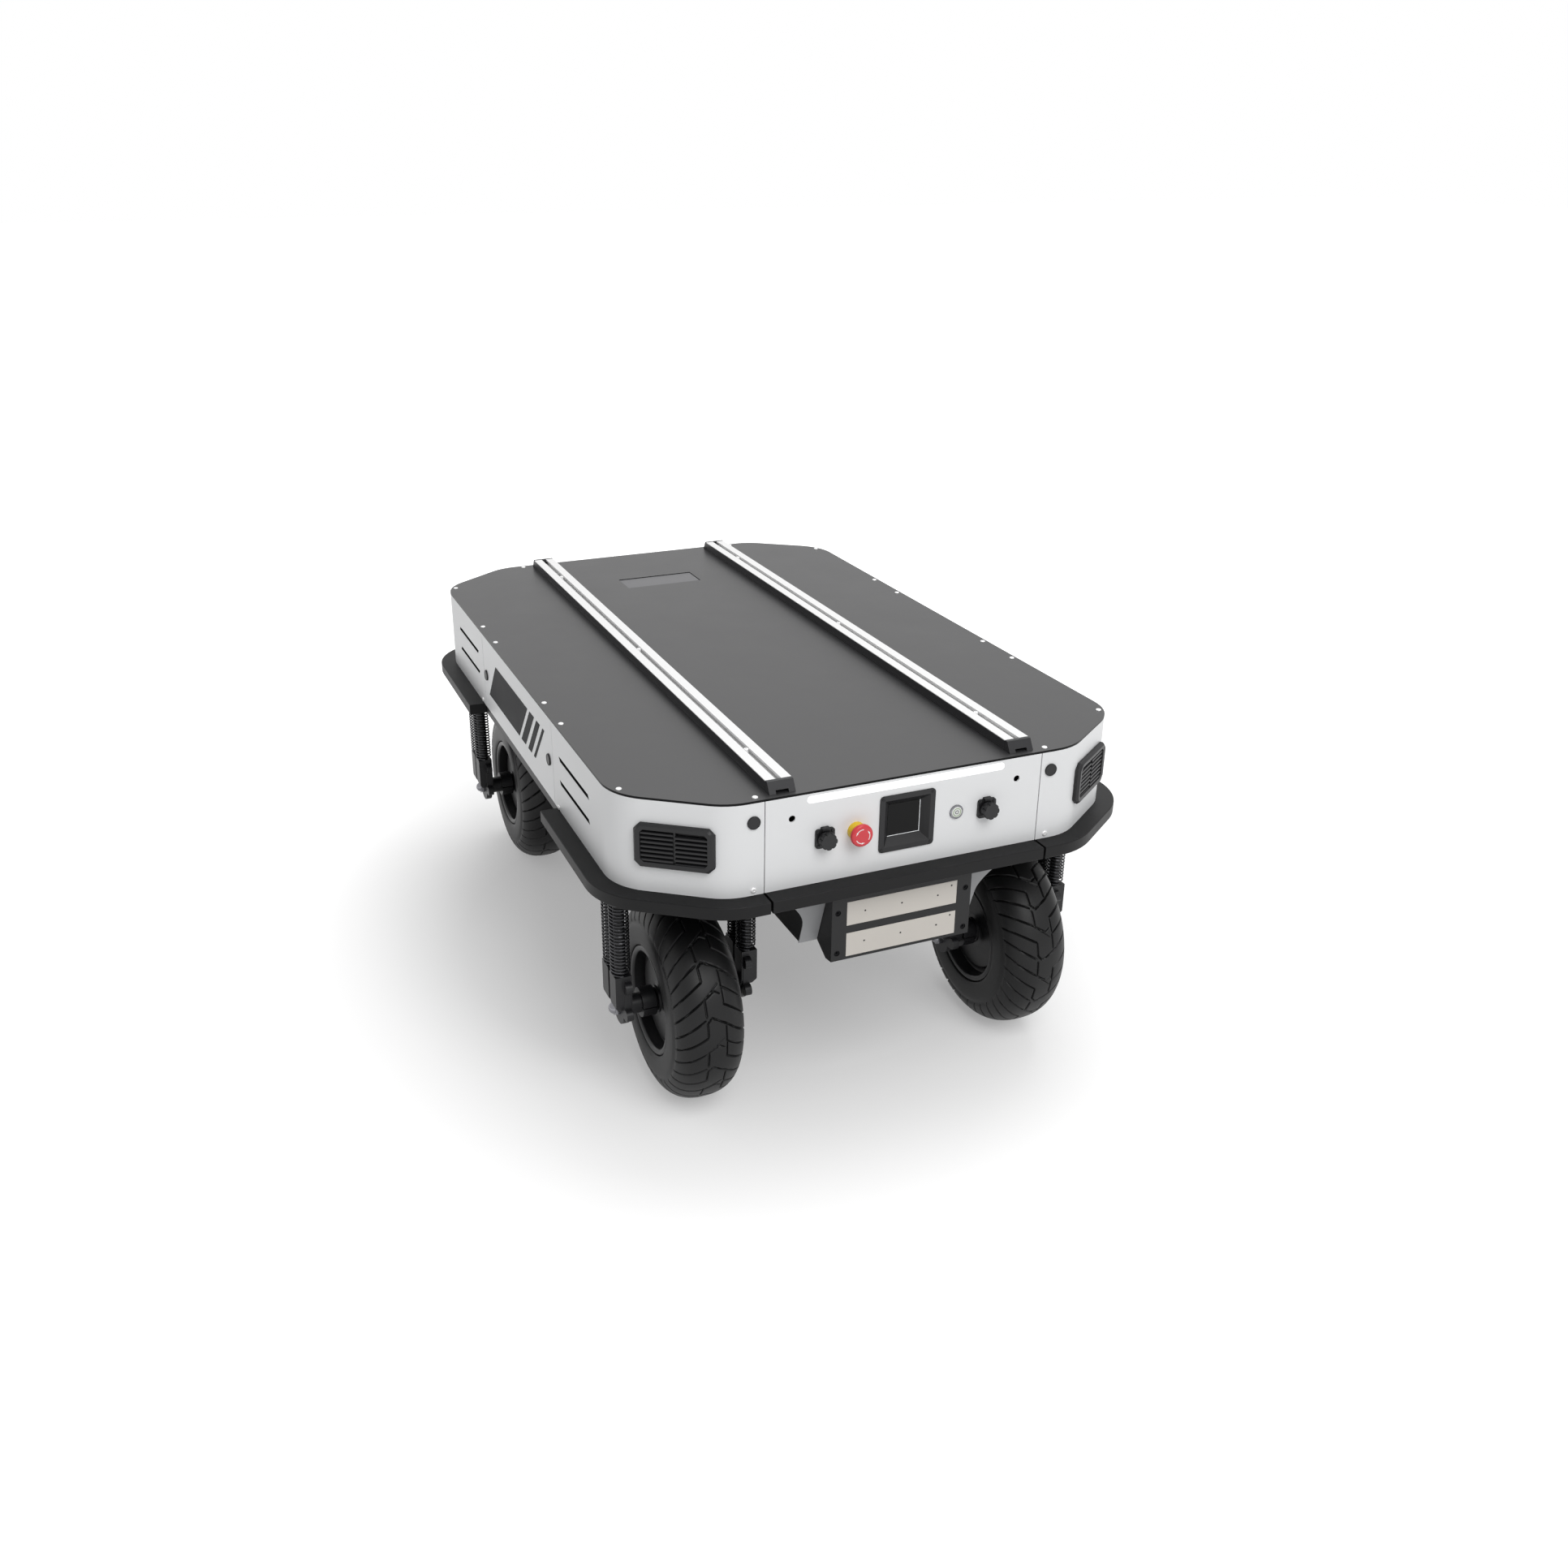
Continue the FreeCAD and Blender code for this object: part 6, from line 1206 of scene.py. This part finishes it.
def cut_corners(inset_across, inset_up, shift, cut):
    """The grille's outline drawn in and shifted across, with its corners cut at 45 degrees."""
    left, right = shift - GRILLE_WIDTH / 2 + inset_across, shift + GRILLE_WIDTH / 2 - inset_across
    top = GRILLE_HEIGHT / 2 - inset_up
    return [(left + cut, -top), (right - cut, -top), (right, cut - top), (right, top - cut),
            (right - cut, top), (left + cut, top), (left, top - cut), (left, cut - top)]


def stepped_frame(loops, place, across, up, out):
    """A closed frame that goes round through loops of ((across, up) points, height in mm)."""
    points, faces = [], []
    for outline, height in loops:
        points += [place + across * a * MM + up * b * MM + out * height * MM for a, b in outline]
    count = len(loops[0][0])
    for level in range(len(loops)):
        after_level = (level + 1) % len(loops)
        for index in range(count):
            after = (index + 1) % count
            faces.append((level * count + index, level * count + after,
                          after_level * count + after, after_level * count + index))
    return points, faces


outer = cut_corners(0, 0, 0, 10)
rim = cut_corners(3.5, 3, 0.5, 9)
mouth = cut_corners(11.5, 10, 0.5, 5)
throat = cut_corners(12.5, 11, 0.5, 5)
grille_loops = [(outer, 0.3), (outer, 6.0), (rim, 10.0), (mouth, 9.0), (throat, 1.0), (throat, 0.3)]
frame_shape = stepped_frame(grille_loops, grille_place, grille_across, Z_AXIS, grille_out)

# %% [markdown]
# The louvres of one column are copies of one slat, so the tree steps a slat down the column. The slat's
# section is drawn once: a thin top, a rounded nose and a slope that sheds water.

# %% Grille louvres
LOUVRES = 7
LOUVRE_SECTION = [(7.4, -2.3), (7.4, 0.6), (6.4, 1.5), (0.6, 3.2), (-1.0, 3.2), (-1.0, 1.0)]
LOUVRE_FIELD, FIRST_LOUVRE = 55.0, 0.62
COLUMNS = ((1.5, 55.5, 0.0), (-55.5, -1.5, 0.5))
BACKING = [(-50, -29), (50, -29), (55, -24), (55, 24), (50, 29), (-50, 29), (-55, 24), (-55, -24)]
BACKING_START, BACKING_DEPTH = -9, 3
MULLION = [(-2, -28), (2, -28), (2, 28), (-2, 28)]
MULLION_START, MULLION_DEPTH = -2, 6
louvre_tree, louvre_start = start_tree("louvres", {"Count": "Int", "Step": "Vector"})
louvre_line = add_node(louvre_tree, "GeometryNodeMeshLine")
louvre_copies = add_node(louvre_tree, "GeometryNodeInstanceOnPoints")
join(louvre_tree, louvre_start, "Count", louvre_line, "Count")
join(louvre_tree, louvre_start, "Step", louvre_line, "Offset")
join(louvre_tree, louvre_line, "Mesh", louvre_copies, "Points")
join(louvre_tree, louvre_start, "Geometry", louvre_copies, "Instance")
end_tree(louvre_tree, louvre_start, louvre_copies)
louvre_pitch = LOUVRE_FIELD / LOUVRES


def grille_part(outline, start, depth):
    """An outline in the grille's plane, pushed outwards from its start."""
    place = grille_place + grille_out * start * MM
    return pushed(outline, place, grille_across, Z_AXIS, grille_out * depth * MM)


def louvre_shape(low, high, drop):
    """One louvre between two places across the grille, dropped by a share of the pitch."""
    height = LOUVRE_FIELD / 2 - louvre_pitch * (FIRST_LOUVRE + drop)
    start = grille_place + grille_across * low * MM + Z_AXIS * height * MM
    return pushed(LOUVRE_SECTION, start, grille_out, Z_AXIS, grille_across * (high - low) * MM)


frame_shapes, louvre_shapes = [], []
backing = grille_part(BACKING, BACKING_START, BACKING_DEPTH)
mullion = grille_part(MULLION, MULLION_START, MULLION_DEPTH)
for x_sign, y_sign in CORNERS.values():
    for shape in (frame_shape, mullion, backing):
        frame_shapes.append(moved_to_corner(shape, x_sign, y_sign))
    for low, high, drop in COLUMNS:
        louvre_shapes.append(moved_to_corner(louvre_shape(low, high, drop), x_sign, y_sign))
grille_frames = made_piece("grille_frames", plastic_black, frame_shapes, edge=0.5)
settle(grille_frames, "chassis", "black_plastic", "corner_grilles")
louvre = made_piece("louvre_seed", plastic_black, louvre_shapes, edge=0.3)
louvre_seed = louvre.data
bpy.data.objects.remove(louvre)
louvre_values = {"Count": LOUVRES, "Step": (0, 0, -louvre_pitch * MM)}
louvres = made_by_nodes("grille_louvres", louvre_tree, louvre_seed, plastic_black, louvre_values)
settle(louvres, "chassis", "black_plastic")

# %% [markdown]
# The walls of the slanted vents in the covers are lined with a thin black frame, pushed in from outside. It
# is painted shade, for those walls lie in shade. It is a closed frame like the grille's, made once for each
# slot and mirrored into the corners.

# %% Painted shade in the vents
VENT_START, VENT_END, VENT_SLANT, VENT_HALF_HEIGHT = 308.5, 492.5, 7.0, 4.0
VENT_ROWS = (589.5, 543.5)
VENT_CORNER = 2.3
# The black frames in the vents are painted shade on the slots' walls.
VENT_SHADE_OUTER, VENT_SHADE_INNER, VENT_SHADE_BACK, VENT_SHADE_FRONT = 0.05, 0.4, -6.0, -0.3


def vent_outline(inset):
    """The outline of a vent, drawn in by the inset."""
    side = inset * VENT_CORNER
    return [(VENT_START + side, VENT_HALF_HEIGHT - inset),
            (VENT_START + VENT_SLANT + inset, -VENT_HALF_HEIGHT + inset),
            (VENT_END - side, -VENT_HALF_HEIGHT + inset),
            (VENT_END - VENT_SLANT - inset, VENT_HALF_HEIGHT - inset)]


vent_shade_loops = [(vent_outline(VENT_SHADE_OUTER), VENT_SHADE_BACK), (vent_outline(VENT_SHADE_OUTER), VENT_SHADE_FRONT),
               (vent_outline(VENT_SHADE_INNER), VENT_SHADE_FRONT), (vent_outline(VENT_SHADE_INNER), VENT_SHADE_BACK)]
vent_shade_shapes = []
for row in VENT_ROWS:
    vent_shade_frame = stepped_frame(vent_shade_loops, Vector((0, SIDE_Y, row)) * MM, X_AXIS, Z_AXIS, Y_AXIS)
    for x_sign, y_sign in CORNERS.values():
        vent_shade_shapes.append(moved_to_corner(vent_shade_frame, x_sign, y_sign))
vent_shades = made_piece("vent_liners", mark_dark, vent_shade_shapes, edge=0)
settle(vent_shades, "chassis", "black_plastic")

# %% [markdown]
# ## Floor and light
# A plain pale floor under soft studio light. For the camera, and in reflections, a glow is added to the
# floor so that it is as white as the backdrop. The glow grows with the distance from the robot, so the
# floor round the
# robot is darker: a painted shadow, on top of the real shadow that the lamps cast.

# %% Floor
FLOOR_HALF_SIZE = 30.0
FLOOR_GREY = 0.66
# Its glow is weaker near the robot, which darkens the floor round it: a painted shadow.
FLOOR_GLOW_AND_SHADOW = {"From Min": 0.6, "From Max": 2.1, "To Min": 0.3, "To Max": 1.0}
floor_turns = [(-1, -1), (1, -1), (1, 1), (-1, 1)]
floor_corners = [(x * FLOOR_HALF_SIZE, y * FLOOR_HALF_SIZE, 0) for x, y in floor_turns]
floor_mesh = bpy.data.meshes.new("floor")
floor_mesh.from_pydata(floor_corners, [], [(0, 1, 2, 3)])
floor_pale = bpy.data.materials.new("floor_pale")
floor_pale.use_nodes = True
floor_tree = floor_pale.node_tree
floor_surface = floor_tree.nodes["Principled BSDF"]
floor_surface.inputs["Base Color"].default_value = (FLOOR_GREY, FLOOR_GREY, FLOOR_GREY, 1)
floor_surface.inputs["Roughness"].default_value = 0.9
floor_surface.inputs["Specular IOR Level"].default_value = 0.0
floor_surface.inputs["Emission Color"].default_value = (1, 1, 1, 1)
floor_rays = add_node(floor_tree, "ShaderNodeLightPath")
floor_seen = add_node(floor_tree, "ShaderNodeMath", operation="MAXIMUM")
floor_place = add_node(floor_tree, "ShaderNodeTexCoord")
floor_distance = add_node(floor_tree, "ShaderNodeVectorMath", operation="LENGTH")
floor_shadow_ramp = add_node(floor_tree, "ShaderNodeMapRange", FLOOR_GLOW_AND_SHADOW)
floor_glow = add_node(floor_tree, "ShaderNodeMath", operation="MULTIPLY")
join(floor_tree, floor_rays, "Is Camera Ray", floor_seen, 0)
join(floor_tree, floor_rays, "Is Glossy Ray", floor_seen, 1)
join(floor_tree, floor_place, "Object", floor_distance, 0)
join(floor_tree, floor_distance, "Value", floor_shadow_ramp, "Value")
join(floor_tree, floor_seen, 0, floor_glow, 0)
join(floor_tree, floor_shadow_ramp, "Result", floor_glow, 1)
join(floor_tree, floor_glow, 0, floor_surface, "Emission Strength")
floor = new_piece("floor", floor_mesh, floor_pale)

# %% [markdown]
# The world gives an even fill light. To the camera, and in mirrors and glass, it is plain white, so that
# the background stays white however bright the fill is.

# %% World
WHITE = (1, 1, 1, 1)
FILL_STRENGTH = 0.42
world = bpy.data.worlds.new("studio")
scene.world = world
world.use_nodes = True
world_tree = world.node_tree
world_tree.nodes.clear()
fill = add_node(world_tree, "ShaderNodeBackground", {"Color": WHITE, "Strength": FILL_STRENGTH})
backdrop = add_node(world_tree, "ShaderNodeBackground", {"Color": WHITE, "Strength": 1.0})
world_rays = add_node(world_tree, "ShaderNodeLightPath")
world_clear = add_node(world_tree, "ShaderNodeMath", operation="MAXIMUM")
join(world_tree, world_rays, "Is Glossy Ray", world_clear, 0)
join(world_tree, world_rays, "Is Transmission Ray", world_clear, 1)
world_seen = add_node(world_tree, "ShaderNodeMath", operation="MAXIMUM")
join(world_tree, world_rays, "Is Camera Ray", world_seen, 0)
join(world_tree, world_clear, 0, world_seen, 1)
world_mix = add_node(world_tree, "ShaderNodeMixShader")
join(world_tree, world_seen, 0, world_mix, "Fac")
join(world_tree, fill, 0, world_mix, 1)
join(world_tree, backdrop, 0, world_mix, 2)
world_out = add_node(world_tree, "ShaderNodeOutputWorld")
join(world_tree, world_mix, 0, world_out, "Surface")

# %% [markdown]
# Two large square lamps light the robot, one in front and one above. Their size is what makes the shadows
# soft: a small lamp would draw a hard edge on the floor.

# %% Lamps
def soft_lamp(name, place, target, size, power):
    """A square lamp that faces the target."""
    data = bpy.data.lights.new(name, "AREA")
    data.size = size
    data.energy = power
    lamp = bpy.data.objects.new(name, data)
    lamp.location = place
    lamp.rotation_euler = (Vector(target) - Vector(place)).to_track_quat("-Z", "Y").to_euler()
    scene.collection.objects.link(lamp)


LAMPS = (
    # name, place and target in metres, side in metres, power in watts
    ("key", (4.0, 0.1, 4.2), (0, 0, 0.4), 3.0, 138),
    ("top", (-1.4, 1.3, 5.0), (0, 0, 0.5), 4.0, 132),
)
for lamp_values in LAMPS:
    soft_lamp(*lamp_values)
scene.view_settings.view_transform = "Standard"

# %% [markdown]
# The two screw heads were only patterns for the tree to copy, so they are removed before the end.

# %% Remove the screw templates
for template in (button_head, cap_head):
    bpy.data.objects.remove(template)
